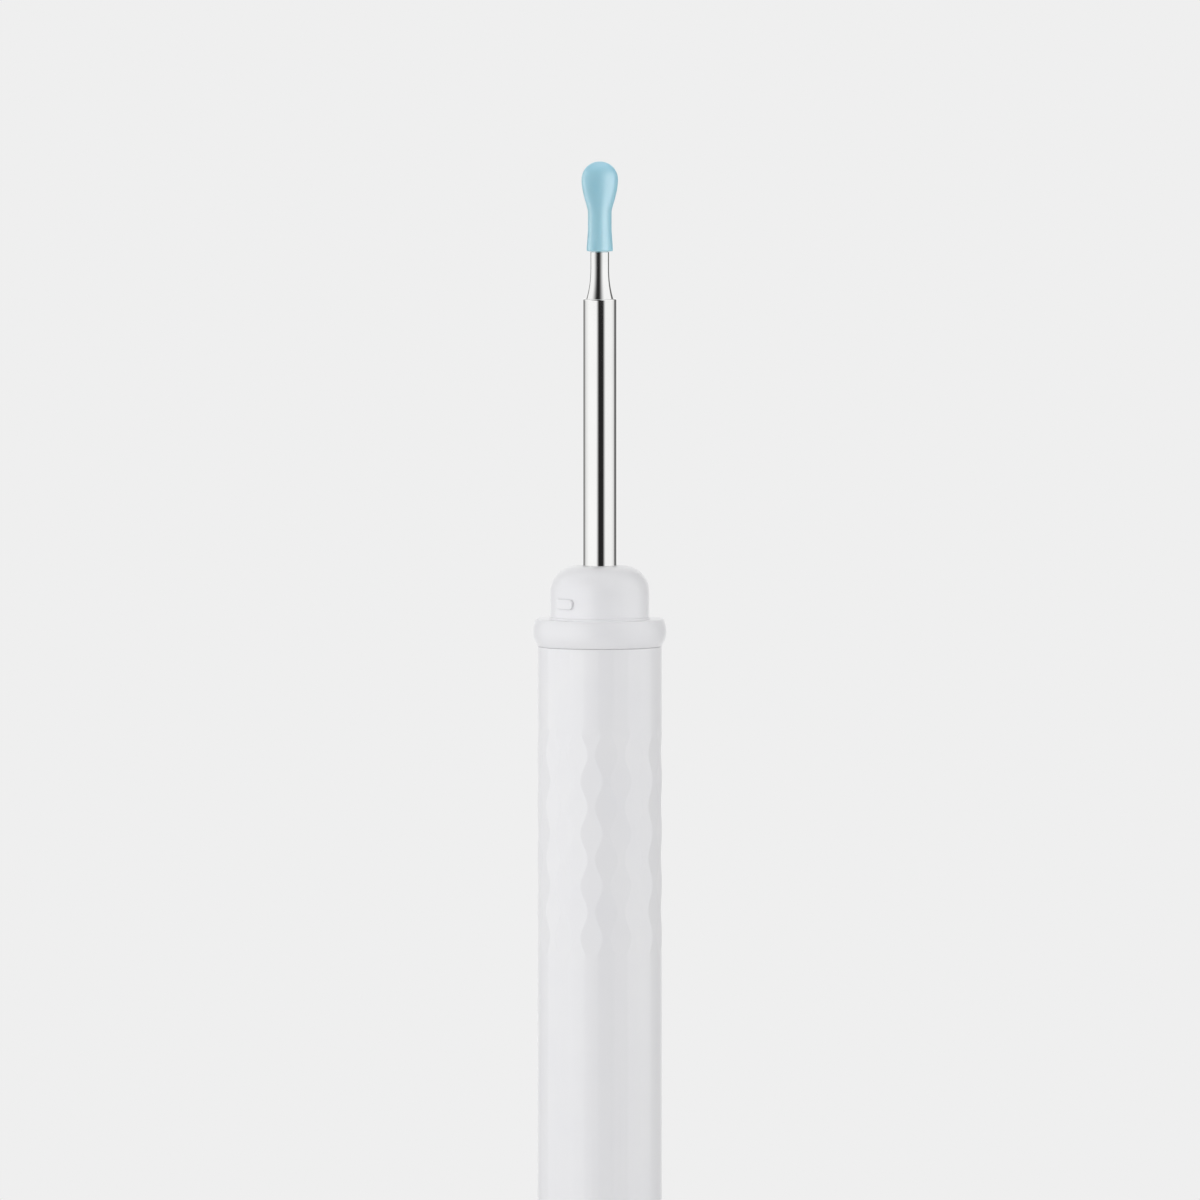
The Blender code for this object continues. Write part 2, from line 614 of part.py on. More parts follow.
def tip_half_depth(height):
    """Give the tip's half depth seen from the side."""
    if height < TIP_WAIST_TOP:
        return tip_half_width(height)
    swell = smooth_step(height, TIP_WAIST_TOP, TIP_BULB_HEIGHT)
    round_depth = TIP_WAIST_RADIUS + (TIP_BULB_DEPTH - TIP_WAIST_RADIUS) * swell
    if height < TIP_BULB_HEIGHT:
        return round_depth
    return round_depth * tip_half_width(height) / TIP_BULB_HALF


def make_tip():
    """Make the soft tip: a sleeve over the neck that swells into a scoop.

    The smooth back of the scoop faces the front. Its other side is cut away in
    a long curve, and the bowl opens there, where the camera looks out.
    """
    heights = [0, TIP_FOOT_EDGE, TIP_FOOT_TOP]
    heights += [TIP_FOOT_TOP + (TIP_WAIST_BOTTOM - TIP_FOOT_TOP) * i / 3 for i in (1, 2, 3)]
    heights += [TIP_WAIST_TOP + (TIP_BULB_HEIGHT - TIP_WAIST_TOP) * i / 7 for i in range(8)]
    cap = TIP_LENGTH - TIP_BULB_HEIGHT
    heights += [TIP_BULB_HEIGHT + cap * math.sin(math.radians(a)) for a in range(15, 91, 15)]
    rings = []
    for height in heights:
        inset = TIP_FOOT_EDGE if height == 0 else 0
        half_x = max(tip_half_width(height) - inset, MERGE / 4)
        half_y = max(tip_half_depth(height) - inset, MERGE / 4)
        turns = [math.tau * i / TIP_SIDES for i in range(TIP_SIDES)]
        rings.append([(half_x * math.cos(a), half_y * math.sin(a), height) for a in turns])
    tip = place("ear_scoop_tip", loft(rings), "pale_blue_silicone", (0, 0, TIP_BASE), TIP_SMOOTH_ANGLE)

    seat_top = NECK_TOP - TIP_BASE + SEAT
    bore = drum(NECK_SPIGOT + SEAT, -MM, seat_top)
    window = drum(NECK_BORE, seat_top - SLIP, BOWL_CENTRE.z, SMALL_SIDES)
    reach = TIP_BULB_HALF + SLIP
    rim = drum(RIM_ARC, -reach, reach, RIM_SIDES)
    rim.transform(Matrix.Rotation(math.pi / 2, 4, "Y"))
    rim_axis = (0, RIM_DEPTH + RIM_ARC, TIP_BASE + RIM_HEIGHT)
    bowl = bmesh.new()
    bmesh.ops.create_uvsphere(bowl, u_segments=28, v_segments=16, radius=1 * MM)
    facing_front(bowl)
    bowl.transform(Matrix.Translation(BOWL_CENTRE) @ Matrix.Diagonal((*BOWL_RADII, 1)))
    combine(
        tip,
        "DIFFERENCE",
        shaper("cut_tip_bore", bore, (0, 0, TIP_BASE)),
        shaper("cut_tip_window", window, (0, 0, TIP_BASE)),
        shaper("cut_tip_rim", rim, rim_axis),
        shaper("cut_tip_bowl", bowl, (0, 0, TIP_BASE)),
    )


def make_camera():
    """Make the camera in the neck: window, lens, barrel, light guide, lights and sensor."""
    window = drum(NECK_BORE - SEAT, WINDOW_BOTTOM, WINDOW_BOTTOM + WINDOW_THICKNESS, TINY_SIDES)
    place("front_window", window, "clear_acrylic")
    barrel_top = WINDOW_BOTTOM - SEAT
    place("camera_barrel", pipe(BARREL_RADIUS, BARREL_BORE, BARREL_BOTTOM, barrel_top, TINY_SIDES), "black_nylon")
    lens_radius = BARREL_BORE - SEAT / 2
    lens = [(0, LENS_BOTTOM), (lens_radius, LENS_BOTTOM), (lens_radius, LENS_BOTTOM + LENS_EDGE)]
    lens += [(lens_radius / 2, LENS_TOP - SEAT / 2), (0, LENS_TOP)]
    place("camera_lens", turned(lens, TINY_SIDES, closed=False), "coated_glass")

    guide_radius = NECK_BORE - SEAT / 2
    chamber_fit = NECK_CHAMBER - SEAT
    guide = [(GUIDE_BORE, GUIDE_BOTTOM), (chamber_fit, GUIDE_BOTTOM), (chamber_fit, GUIDE_TAPER_BOTTOM)]
    guide += [(guide_radius, GUIDE_TAPER_TOP), (guide_radius, barrel_top), (GUIDE_BORE, barrel_top)]
    place("light_guide", turned(guide, TINY_SIDES), "clear_acrylic")
    led_board_top = LED_BOARD_Z + LED_BOARD_THICKNESS
    place("led_ring_board", pipe(chamber_fit, GUIDE_BORE, LED_BOARD_Z, led_board_top, TINY_SIDES), "green_board")
    for number in range(LED_COUNT):
        angle = math.tau * (number + 0.5) / LED_COUNT
        led = block(LED_SIZE, (LED_CIRCLE, 0, led_board_top + SEAT + LED_SIZE[2] / 2))
        led.transform(Matrix.Rotation(angle, 4, "Z"))
        place(f"lighting_led_{number + 1}", led, "white_ceramic")
    place("camera_sensor", block(SENSOR_SIZE, (0, 0, SENSOR_Z + SENSOR_SIZE[2] / 2)), "chip_epoxy")
    sensor_board = drum(chamber_fit, SENSOR_Z - SEAT - SENSOR_BOARD_THICKNESS, SENSOR_Z - SEAT, TINY_SIDES)
    place("sensor_board", sensor_board, "green_board")


def spline_points(route, steps):
    """Give points on a smooth curve through all points of a route."""
    knots = [route[0], *route, route[-1]]
    points = []
    for before, start, end, after in zip(knots, knots[1:], knots[2:], knots[3:]):
        for i in range(steps):
            t = i / steps
            pull = (end - before) * t + (2 * before - 5 * start + 4 * end - after) * t * t
            points.append(start + 0.5 * (pull + (3 * start - before - 3 * end + after) * t ** 3))
    return points + [route[-1]]


def make_flex():
    """Make the ribbon from the camera, past the cell, to the main board.

    Its route is a list of places in the plane x = 0, as (y, z) in millimetres:
    straight down the tube, back through the bulkhead's slot, down behind the
    cell, and forward to the connector on the back of the main board.
    """
    in_tube = [(0, 122.85), (0, 105), (0, 92), (0, 87.6)]
    through_slot = [(0.55, 86.7), (1.8, 85.5), (3.0, 84.5), (3.8, 83.4)]
    behind_cell = [(4.15, 81.6), (4.15, 70), (4.15, 56), (4.15, 53)]
    at_connector = [(3.45, 50.7), (3.0, 48.9), (3.0, 47.6)]
    places = in_tube + through_slot + behind_cell + at_connector
    points = spline_points([Vector((0, y, z)) * MM for y, z in places], 2)
    across = Vector((FLEX_WIDTH / 2, 0, 0))
    rings = []
    for i, point in enumerate(points):
        along = (points[min(i + 1, len(points) - 1)] - points[max(i - 1, 0)]).normalized()
        out = along.cross(Vector((1, 0, 0))) * FLEX_THICKNESS / 2
        rings.append([point + across + out, point - across + out, point - across - out, point + across - out])
    place("camera_flex", loft(rings), "amber_flex")


def make_chassis():
    """Make the half-round carrier with board ledges and a slotted bulkhead."""
    half_round = arc((0, 0), CHASSIS_RADIUS, 0, 180, 16) + arc((0, 0), CHASSIS_INNER, 180, 0, 14)
    chassis = place("inner_chassis", upright(half_round, CHASSIS_BOTTOM, CHASSIS_TOP), "black_nylon")
    bulkhead_radius = (CHASSIS_RADIUS + CHASSIS_INNER) / 2
    bulkhead = pipe(bulkhead_radius, BULKHEAD_HOLE, BULKHEAD_BOTTOM, BULKHEAD_TOP)
    combine(chassis, "UNION", shaper("add_bulkhead", bulkhead))
    ledge_front = BOARD_BACK + SEAT
    root = (CHASSIS_RADIUS + CHASSIS_INNER) / 2
    outer = math.sqrt(root ** 2 - ledge_front ** 2)
    back = math.sqrt(root ** 2 - LEDGE_INNER ** 2)
    for name, side in (("left", -1), ("right", 1)):
        corners = [(LEDGE_INNER, ledge_front), (outer, ledge_front), (LEDGE_INNER, back)]
        outline = [(side * x, y) for x, y in corners]
        ledge = upright(outline, LEDGE_BOTTOM, LEDGE_TOP)
        combine(chassis, "UNION", shaper(f"add_ledge_{name}", ledge))
    slot_height = 2 * (BULKHEAD_TOP - BULKHEAD_BOTTOM)
    slot_size = (FLEX_WIDTH + 4 * SLIP, FLEX_SLOT_BACK - FLEX_SLOT_FRONT, slot_height)
    slot_middle = (0, (FLEX_SLOT_BACK + FLEX_SLOT_FRONT) / 2, (BULKHEAD_TOP + BULKHEAD_BOTTOM) / 2)
    combine(chassis, "DIFFERENCE", shaper("cut_flex_slot", block(slot_size, slot_middle)))
    for number, (x, z) in enumerate(screw_places(), start=1):
        hole = facing_front(drum(SCREW_SHANK + SEAT, -SCREW_TIP - SLIP, 0, SCREW_SIDES))
        combine(chassis, "DIFFERENCE", shaper(f"cut_chassis_hole_{number}", hole, (x, 0, z)))


def screw_places():
    """Give each board screw's place across and up the board."""
    return list(zip((-SCREW_X, SCREW_X), SCREW_HEIGHTS))


def make_main_board():
    """Make the main board with its narrow socket end, its holes and its screws."""
    half = [(BOARD_NECK_HALF, BOARD_BOTTOM), (BOARD_NECK_HALF, BOARD_WIDENS)]
    half += [(BOARD_HALF_WIDTH, BOARD_WIDENS), (BOARD_HALF_WIDTH, BOARD_TOP)]
    outline = half + [(-x, z) for x, z in reversed(half)]
    board = place("main_board", plate(outline, BOARD_FRONT, BOARD_BACK), "green_board")
    under_head = -BOARD_FRONT + SEAT
    head_top = under_head + SCREW_HEAD_HEIGHT
    screw = [(0, -SCREW_TIP), (SCREW_SHANK, -SCREW_TIP), (SCREW_SHANK, under_head), (SCREW_HEAD, under_head)]
    screw += [(SCREW_HEAD, head_top - SCREW_HEAD_EDGE), (SCREW_HEAD - SCREW_HEAD_EDGE, head_top), (0, head_top)]
    for number, (x, z) in enumerate(screw_places(), start=1):
        hole = facing_front(drum(SCREW_SHANK + SEAT, -BOARD_BACK - SLIP, -BOARD_FRONT + SLIP, SCREW_SIDES))
        combine(board, "DIFFERENCE", shaper(f"cut_board_hole_{number}", hole, (x, 0, z)))
        shape = facing_front(turned(screw, TINY_SIDES, closed=False))
        place(f"chassis_screw_{number}", shape, "tinned_steel", (x, 0, z))


def board_piece(name, size, x, z, finish_name, edge=0.0, back=False):
    """Make a part of (width, thickness, height) on the front or the back of the main board."""
    middle = BOARD_FRONT - SEAT - size[1] / 2
    if back:
        middle = BOARD_BACK + SEAT + size[1] / 2
    return place(name, block(size, (x, middle, z), edge), finish_name)


def make_board_parts():
    """Make the chips, the shield, the switch and the small parts on the main board."""
    for name, size, x, z, finish_name in BOARD_PARTS:
        board_piece(name, size, x, z, finish_name)
    board_piece("wireless_shield", SHIELD_SIZE, 0, SHIELD_Z, "tinned_steel", SHIELD_EDGE)
    board_piece("flex_connector", CONNECTOR_SIZE, 0, CONNECTOR_Z, "black_nylon", back=True)
    switch = board_piece("power_switch", SWITCH_SIZE, 0, BUTTON_Z, "black_nylon", SWITCH_EDGE)
    well = facing_front(drum(PLUNGER_RADIUS + SLIP, PLUNGER_BOTTOM - 6 * SLIP, SWITCH_SIZE[1], TINY_SIDES))
    combine(switch, "DIFFERENCE", shaper("cut_switch_well", well, (0, 0, BUTTON_Z)))


def make_button():
    """Make the power button, its gasket, the plunger under it and the light pipe."""
    outline = [(0, STEM_END), (STEM_RADIUS, STEM_END), (STEM_RADIUS, FLANGE_INNER), (BUTTON_FLANGE, FLANGE_INNER)]
    outline += [(BUTTON_FLANGE, FLANGE_OUTER), (BUTTON_RADIUS, FLANGE_OUTER)]
    outline += [(BUTTON_RADIUS, BUTTON_FACE + MM), (0, BUTTON_FACE + MM)]
    shape = facing_front(turned(outline, closed=False))
    shape.transform(Matrix.Translation((0, SLEEVE_RADIUS, 0)))
    button = place("power_button", shape, "white_abs", (0, -SLEEVE_RADIUS, BUTTON_Z))
    low = BUTTON_Z - 2 * BUTTON_RADIUS
    high = BUTTON_Z + 2 * BUTTON_RADIUS
    face = drum(BUTTON_FACE, low, high, FACE_SIDES)
    combine(button, "INTERSECT", shaper("trim_button_face", face))
    plunger = facing_front(drum(PLUNGER_RADIUS, PLUNGER_BOTTOM, STEM_END - SEAT, TINY_SIDES))
    plunger.transform(Matrix.Translation((0, SLEEVE_RADIUS, 0)))
    place("switch_plunger", plunger, "brass", (0, -SLEEVE_RADIUS, BUTTON_Z))

    gasket = facing_front(pipe(BUTTON_FLANGE, BUTTON_RADIUS + SEAT, FLANGE_OUTER + SEAT, SLEEVE_RADIUS))
    gasket_piece = place("button_gasket", gasket, "black_rubber", (0, 0, BUTTON_Z))
    combine(gasket_piece, "INTERSECT", shaper("trim_gasket", drum(SLEEVE_BORE - SEAT, low, high, FACE_SIDES)))

    light = [(0, LIGHT_INNER), (LIGHT_RADIUS, LIGHT_INNER), (LIGHT_RADIUS, FLANGE_OUTER)]
    light += [(LIGHT_FLANGE, FLANGE_OUTER), (LIGHT_FLANGE, LIGHT_FLANGE_TOP), (LIGHT_RADIUS, LIGHT_FLANGE_TOP)]
    light += [(LIGHT_RADIUS, LIGHT_FACE - SLIP), (LIGHT_RADIUS / 2, LIGHT_FACE - SLIP / 5), (0, LIGHT_FACE)]
    pipe_shape = facing_front(turned(light, TINY_SIDES, closed=False))
    place("status_light_pipe", pipe_shape, "clear_acrylic", (0, 0, LIGHT_Z))


def make_lead(name, x, finish_name):
    """Make one round lead from the cell's guard board down to the front of the main board."""
    lead_y = BOARD_FRONT - LEAD_RADIUS - 2 * SEAT
    route = [(LEAD_START_Y, GUARD_BOTTOM - SEAT), (LEAD_START_Y + SLIP, 50.5 * MM), (0.2 * MM, 49.6 * MM)]
    route += [(lead_y, 48.6 * MM), (lead_y, 47.2 * MM)]
    points = spline_points([Vector((x, y, z)) for y, z in route], 3)
    curve = bpy.data.curves.new(name, "CURVE")
    curve.dimensions = "3D"
    curve.bevel_depth = LEAD_RADIUS
    curve.bevel_resolution = 1
    curve.use_fill_caps = True
    line = curve.splines.new("POLY")
    line.points.add(len(points) - 1)
    for knot, point in zip(line.points, points):
        knot.co = (*point, 1)
    curve.materials.append(finish(finish_name))
    lead = bpy.data.objects.new(name, curve)
    bpy.context.scene.collection.objects.link(lead)


def make_battery():
    """Make the cell, its guard board, its two leads and the foam that steadies it."""
    cell = drum(CELL_RADIUS, CELL_BOTTOM, CELL_TOP, edge=CELL_EDGE)
    place("battery_cell", cell, "cell_wrap", (0, CELL_OFFSET, 0))
    guard = block(GUARD_SIZE, (0, GUARD_Y, GUARD_BOTTOM + GUARD_SIZE[2] / 2))
    place("battery_protection_board", guard, "green_board")
    make_lead("battery_lead_red", 1.1 * MM, "red_lead")
    make_lead("battery_lead_black", 2.6 * MM, "black_rubber")
    outside = arc((0, 0), SLEEVE_BORE - SEAT, *FOAM_ANGLES, 10)
    against_cell = arc((0, CELL_OFFSET), CELL_RADIUS + SEAT, *FOAM_ANGLES[::-1], 10)
    place("battery_foam_pad", upright(outside + against_cell, FOAM_BOTTOM, FOAM_TOP), "grey_foam")


def main():
    """Clear the scene and build the ear cleaner from tail to tip."""
    for item in list(bpy.data.objects):
        bpy.data.objects.remove(item, do_unlink=True)
    make_sleeve()
    make_tail()
    make_collar()
    make_dome()
    make_ferrule()
    make_tube()
    make_neck()
    make_tip()
    make_camera()
    make_flex()
    make_chassis()
    make_main_board()
    make_board_parts()
    make_button()
    make_battery()


main()
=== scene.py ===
"""Looks of the visual ear cleaner: fine meshes, finishes, a pale studio and the camera.

Every piece stands where its solid in the frame stands. Sizes are in metres,
+Z runs up the handle to the soft tip, and the front faces -Y.
"""

import logging
import math
from collections.abc import Callable, Iterator
from contextlib import contextmanager
from dataclasses import dataclass
from enum import Enum

import bpy
import numpy as np
from mathutils import Matrix, Vector


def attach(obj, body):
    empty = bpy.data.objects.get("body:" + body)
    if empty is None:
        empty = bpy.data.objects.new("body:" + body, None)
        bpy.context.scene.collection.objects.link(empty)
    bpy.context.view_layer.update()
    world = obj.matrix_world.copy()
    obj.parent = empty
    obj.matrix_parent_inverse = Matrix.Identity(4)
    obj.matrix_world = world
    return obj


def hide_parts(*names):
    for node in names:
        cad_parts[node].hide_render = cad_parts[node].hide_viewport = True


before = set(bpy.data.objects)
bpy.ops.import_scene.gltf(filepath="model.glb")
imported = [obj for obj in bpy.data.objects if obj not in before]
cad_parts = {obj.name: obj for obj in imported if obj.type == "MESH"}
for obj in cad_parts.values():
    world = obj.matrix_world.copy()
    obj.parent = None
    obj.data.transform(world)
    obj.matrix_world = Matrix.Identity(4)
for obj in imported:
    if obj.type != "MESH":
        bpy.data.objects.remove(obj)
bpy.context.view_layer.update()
log = logging.getLogger("ear_cleaner")

MM = 0.001
MERGE = 0.0005 * MM
SEAT = 0.05 * MM
SLIP = 0.1 * MM
BUTTON_Z = 24.0 * MM
LIGHT_Z = 31.0 * MM
Point = tuple[float, float]
Place = tuple[float, float, float]
Piece = bpy.types.Object
Tree = bpy.types.NodeTree
Socket = bpy.types.NodeSocket
Key = str | int
Test = Callable[[list[Vector]], bool]


class Body(Enum):
    """The bodies of the frame that pieces ride on."""

    HANDLE = "handle"
    TIP = "tip"
    BUTTON = "button"


class Grain(Enum):
    """How the fine grain of a surface lies."""

    EVEN = "even grit"
    ALONG = "drawn lines along the handle"
    ROUND = "turned lines round the handle"
    CELLS = "the cut cells of a foam"


# Node and colour helpers


def linear(hex_colour: str) -> tuple[float, ...]:
    """Turn an sRGB colour, written #RRGGBB, into linear red, green and blue with an alpha of 1."""
    parts = [int(hex_colour[i:i + 2], 16) / 255 for i in (1, 3, 5)]
    return (*(p / 12.92 if p <= 0.04045 else ((p + 0.055) / 1.055) ** 2.4 for p in parts), 1.0)


def add_node(
    tree: Tree, kind: str, settings: dict[Key, object] | None = None, links: dict[Key, Socket] | None = None
) -> bpy.types.bpy_prop_collection:
    """Add one shader node with its settings and its links.

    Args:
        tree: the node tree that gets the node.
        kind: the node's type, without its ShaderNode prefix.
        settings: values by property name, or by input name or number.
        links: the output that feeds each input, by input name or number.

    Returns:
        The new node's outputs.
    """
    node = tree.nodes.new("ShaderNode" + kind)
    for key, value in (settings or {}).items():
        if isinstance(key, str) and hasattr(node, key):
            setattr(node, key, value)
        else:
            node.inputs[key].default_value = value
    for key, source in (links or {}).items():
        tree.links.new(source, node.inputs[key])
    return node.outputs


def calculate(tree: Tree, operation: str, first: Socket, second: Socket | float = 0.0) -> Socket:
    """Add a node that does one sum with an output and, for a sum of two, another output or a number."""
    number, output = ({1: second}, {}) if isinstance(second, float) else ({}, {1: second})
    return add_node(tree, "Math", {"operation": operation} | number, {0: first} | output)[0]


def fade(tree: Tree, source: Socket, start: float, end: float, low: float = 0, high: float = 1) -> Socket:
    """Add a node that goes softly from low to high while the source goes from start to end."""
    ends = {"From Min": start, "From Max": end, "To Min": low, "To Max": high}
    return add_node(tree, "MapRange", ends | {"interpolation_type": "SMOOTHSTEP"}, {"Value": source})[0]


def bearings(tree: Tree, place: Socket) -> tuple[Socket, ...]:
    """Tell where a place or a direction lies, seen from the object.

    Args:
        tree: the node tree that gets the nodes.
        place: the output with the place or the direction.

    Returns:
        Its shares to the right, to the front and up, and its turn in degrees from the front.
    """
    right, back, up = add_node(tree, "SeparateXYZ", links={"Vector": place})
    front = calculate(tree, "MULTIPLY", back, -1.0)
    return right, front, up, calculate(tree, "DEGREES", calculate(tree, "ARCTAN2", right, front))


def bare(owner: bpy.types.Material | bpy.types.World) -> Tree:
    """Empty the node tree of a stage material or the world.

    Args:
        owner: what the tree belongs to.

    Returns:
        The tree, without nodes.
    """
    owner.use_nodes = True
    owner.node_tree.nodes.clear()
    return owner.node_tree


# Finishes


@dataclass(frozen=True)
class Finish:
    """One real material, with the fine unevenness that its making leaves.

    The two colours are the ends of a faint mottle, or of copper tracks where
    these have a pitch, and roughness runs from its first to its second value
    with them. Then come the mottle's size, and the size and the depth of the
    grain, which is a real bump. These sizes are in millimetres.
    """

    name: str
    slot: str
    colour: str
    mottle_colour: str
    roughness: Point
    mottle_size: float = 3.0
    grain_size: float = 0.12
    grain_depth: float = 0.0004
    grain: Grain = Grain.EVEN
    stretch: float = 60.0
    track_pitch: float = 0.0
    metallic: float = 0.0
    sockets: tuple[tuple[str, object], ...] = ()

    def material(self) -> bpy.types.Material:
        """Make the finish's material on first use.

        Returns:
            The material.
        """
        if self.name in bpy.data.materials:
            return bpy.data.materials[self.name]
        made = bpy.data.materials.new(self.name)
        made.use_nodes = True
        tree = made.node_tree
        shader = tree.nodes["Principled BSDF"]
        for name, value in (("Metallic", self.metallic), *self.sockets):
            shader.inputs[name].default_value = value
        place = add_node(tree, "TexCoord")["Object"]
        share = self.pattern(tree, place)
        height = self.relief(tree, place)
        # A Mix node's colours are its inputs 6 and 7 and its output 2
        tones = {"data_type": "RGBA", 6: linear(self.colour), 7: linear(self.mottle_colour)}
        gloss = dict(zip(("To Min", "To Max"), self.roughness))
        for name, outputs in (
            ("Base Color", add_node(tree, "Mix", tones, {0: share})[2:]),
            ("Roughness", add_node(tree, "MapRange", gloss, {"Value": share})),
            ("Normal", add_node(tree, "Bump", {"Distance": self.grain_depth * MM}, {"Height": height})),
        ):
            tree.links.new(outputs[0], shader.inputs[name])
        return made

    def pattern(self, tree: Tree, place: Socket) -> Socket:
        """Give the slow mottle, or 1 over a copper track and 0 between tracks.

        Args:
            tree: the material's node tree.
            place: the output that gives the place on the piece.

        Returns:
            The output with the pattern, from 0 to 1.
        """
        if self.track_pitch:
            pitch = self.track_pitch * MM
            upright = add_node(tree, "Mapping", {"Rotation": (math.pi / 2, 0, 0)}, {"Vector": place})
            look = {"Scale": 1.0, "Brick Width": 6 * pitch, "Row Height": pitch, "Mortar Size": pitch / 4}
            look |= {"Color1": (1, 1, 1, 1), "Color2": (1, 1, 1, 1), "Mortar": (0, 0, 0, 1)}
            return add_node(tree, "TexBrick", look, {"Vector": upright["Vector"]})["Color"]
        look = {"Scale": 1 / (self.mottle_size * MM), "Detail": 3.0}
        cloud = add_node(tree, "TexNoise", look, {"Vector": place})["Fac"]
        return add_node(tree, "MapRange", {"From Min": 0.3, "From Max": 0.7}, {"Value": cloud})["Result"]

    def relief(self, tree: Tree, place: Socket) -> Socket:
        """Give the height of the fine grain, from 0 to 1.

        Args:
            tree: the material's node tree.
            place: the output that gives the place on the piece.

        Returns:
            The output with the height.
        """
        fine = 1 / (self.grain_size * MM)
        slow = fine / self.stretch
        if self.grain is Grain.CELLS:
            return add_node(tree, "TexVoronoi", {"Scale": fine}, {"Vector": place})["Distance"]
        if self.grain is Grain.EVEN:
            return add_node(tree, "TexNoise", {"Scale": fine, "Detail": 2.0}, {"Vector": place})["Fac"]
        scale = (fine, fine, slow) if self.grain is Grain.ALONG else (slow, slow, fine)
        pulled = add_node(tree, "Mapping", {"Scale": scale}, {"Vector": place})["Vector"]
        return add_node(tree, "TexNoise", {"Scale": 1.0, "Detail": 3.0}, {"Vector": pulled})["Fac"]


# ABS, injection moulded in a finely eroded mould: an even satin white that spreads each highlight
WHITE_ABS = Finish(
    "satin_white_abs", "white_shell", "#E8E8E9", "#E6E6E8", (0.29, 0.32), 6, 0.1, 0.0003,
    sockets=(("IOR", 1.5),),
)
# Liquid silicone rubber, moulded matt: light goes a little way in, so its shadows stay soft and pale
BLUE_SILICONE = Finish(
    "pale_blue_silicone", "blue_silicone", "#97CADA", "#9CCDDB", (0.34, 0.4), 2.5, 0.07, 0.0005,
    sockets=(
        ("IOR", 1.43), ("Subsurface Weight", 0.3), ("Subsurface Radius", (0.8, 1.0, 1.1)),
        ("Subsurface Scale", 0.5 * MM),
    ),
)
# Stainless tube, drawn and polished: a mirror with the last of the drawing lines along it
POLISHED_TUBE = Finish(
    "drawn_polished_steel", "polished_steel", "#EDEDEC", "#EAEAE9", (0.05, 0.09), 5, 0.03, 0.00002,
    Grain.ALONG, metallic=1.0,
)
# Stainless steel, turned and polished: a mirror with faint lines round it from the lathe
TURNED_STEEL = Finish(
    "turned_polished_steel", "polished_steel", "#EDEDEC", "#E9E9E8", (0.05, 0.09), 3, 0.025, 0.00002,
    Grain.ROUND, metallic=1.0,
)
# Steel sheet, stamped and tin plated: softer and greyer than the polished steel
TINNED_STEEL = Finish(
    "tinned_steel_sheet", "plated_steel", "#C2C4C6", "#B4B6B9", (0.22, 0.34), 1.2, 0.04, 0.0006,
    Grain.ALONG, metallic=1.0,
)
# Hard gold over nickel, electroplated: small warm mirrors
PLATED_GOLD = Finish("plated_gold", "brass", "#E3B864", "#D9A850", (0.16, 0.26), 0.4, 0.05, metallic=1.0)
# Brass, turned: fine tool lines round it
TURNED_BRASS = Finish(
    "turned_brass", "brass", "#B89A55", "#A98A48", (0.2, 0.32), 1.5, 0.05, 0.0008, Grain.ROUND, metallic=1.0
)
# Nitrile rubber, moulded: matt black that greys a little where it is rubbed
BLACK_RUBBER = Finish(
    "matt_black_rubber", "black_rubber", "#1B1B1D", "#242427", (0.62, 0.78), 1.5, 0.06, 0.003
)
# Glass-filled nylon, moulded: fibres near the skin leave it patchy between dull and satin
BLACK_NYLON = Finish(
    "glass_filled_nylon", "black_nylon", "#232427", "#2C2D30", (0.42, 0.6), 0.6, 0.05, 0.001
)
# Epoxy, transfer moulded round a chip: flat dark grey with a fine sparkle of filler
CHIP_EPOXY = Finish("moulded_epoxy", "chip_epoxy", "#18191B", "#202124", (0.45, 0.58), 0.4, 0.03, 0.001)
# Glass-fibre board under green solder mask: glossy, with the copper tracks just raised
GREEN_BOARD = Finish(
    "green_solder_mask", "green_board", "#174C30", "#24704A", (0.3, 0.36), 3, 0.2, 0.002, track_pitch=0.5
)
# Polyimide film over copper: amber and glossy, with ripples from bending
AMBER_FLEX = Finish("polyimide_film", "amber_flex", "#B9772B", "#A5661F", (0.24, 0.34), 2, 0.5, 0.004)
# Alumina, pressed and fired: chalky white with an even fine grain
WHITE_CERAMIC = Finish("fired_alumina", "white_ceramic", "#EDEBE2", "#E2DFD3", (0.45, 0.6), 0.3, 0.03, 0.001)
# Acrylic with a little diffuser in it, moulded: milky, so that a light behind it spreads
MILKY_ACRYLIC = Finish(
    "milky_acrylic", "clear_acrylic", "#E9EDEF", "#E1E6E9", (0.12, 0.2), 0.5, 0.1, 0.0003,
    sockets=(("IOR", 1.49), ("Subsurface Weight", 0.6), ("Subsurface Scale", 0.6 * MM)),
)
# Optical glass, ground and polished: clear, with only its reflections to see
CLEAR_GLASS = Finish(
    "polished_window_glass", "clear_window", "#FBFDFE", "#F6FAFC", (0.0, 0.02), 0.5, 0.1, 0.00001,
    sockets=(("IOR", 1.52), ("Transmission Weight", 1.0)),
)
# Lens glass under an anti-reflection coating: dark, with a violet and green glint
COATED_LENS = Finish(
    "coated_lens_glass", "clear_window", "#14161C", "#1A1C26", (0.02, 0.05), 0.3, 0.1, 0.00001,
    sockets=(("IOR", 1.7), ("Thin Film Thickness", 420.0), ("Thin Film IOR", 1.38)),
)
# Shrink film over an aluminium can: glossy blue with small stretch ripples
CELL_WRAP = Finish("blue_shrink_film", "cell_wrap", "#2F6FA8", "#28639A", (0.26, 0.36), 4, 0.8, 0.006)
# Silicone wire insulation, extruded: soft red
RED_WIRE = Finish(
    "red_wire_insulation", "red_lead", "#B3201F", "#A31A1B", (0.4, 0.5), 1, 0.06, 0.001, Grain.ALONG
)
# Polyurethane foam, cut from sheet: dull grey with open cut cells
GREY_FOAM = Finish(
    "grey_cut_foam", "grey_foam", "#5A5C60", "#4C4E52", (0.85, 0.95), 2, 0.25, 0.08, Grain.CELLS
)


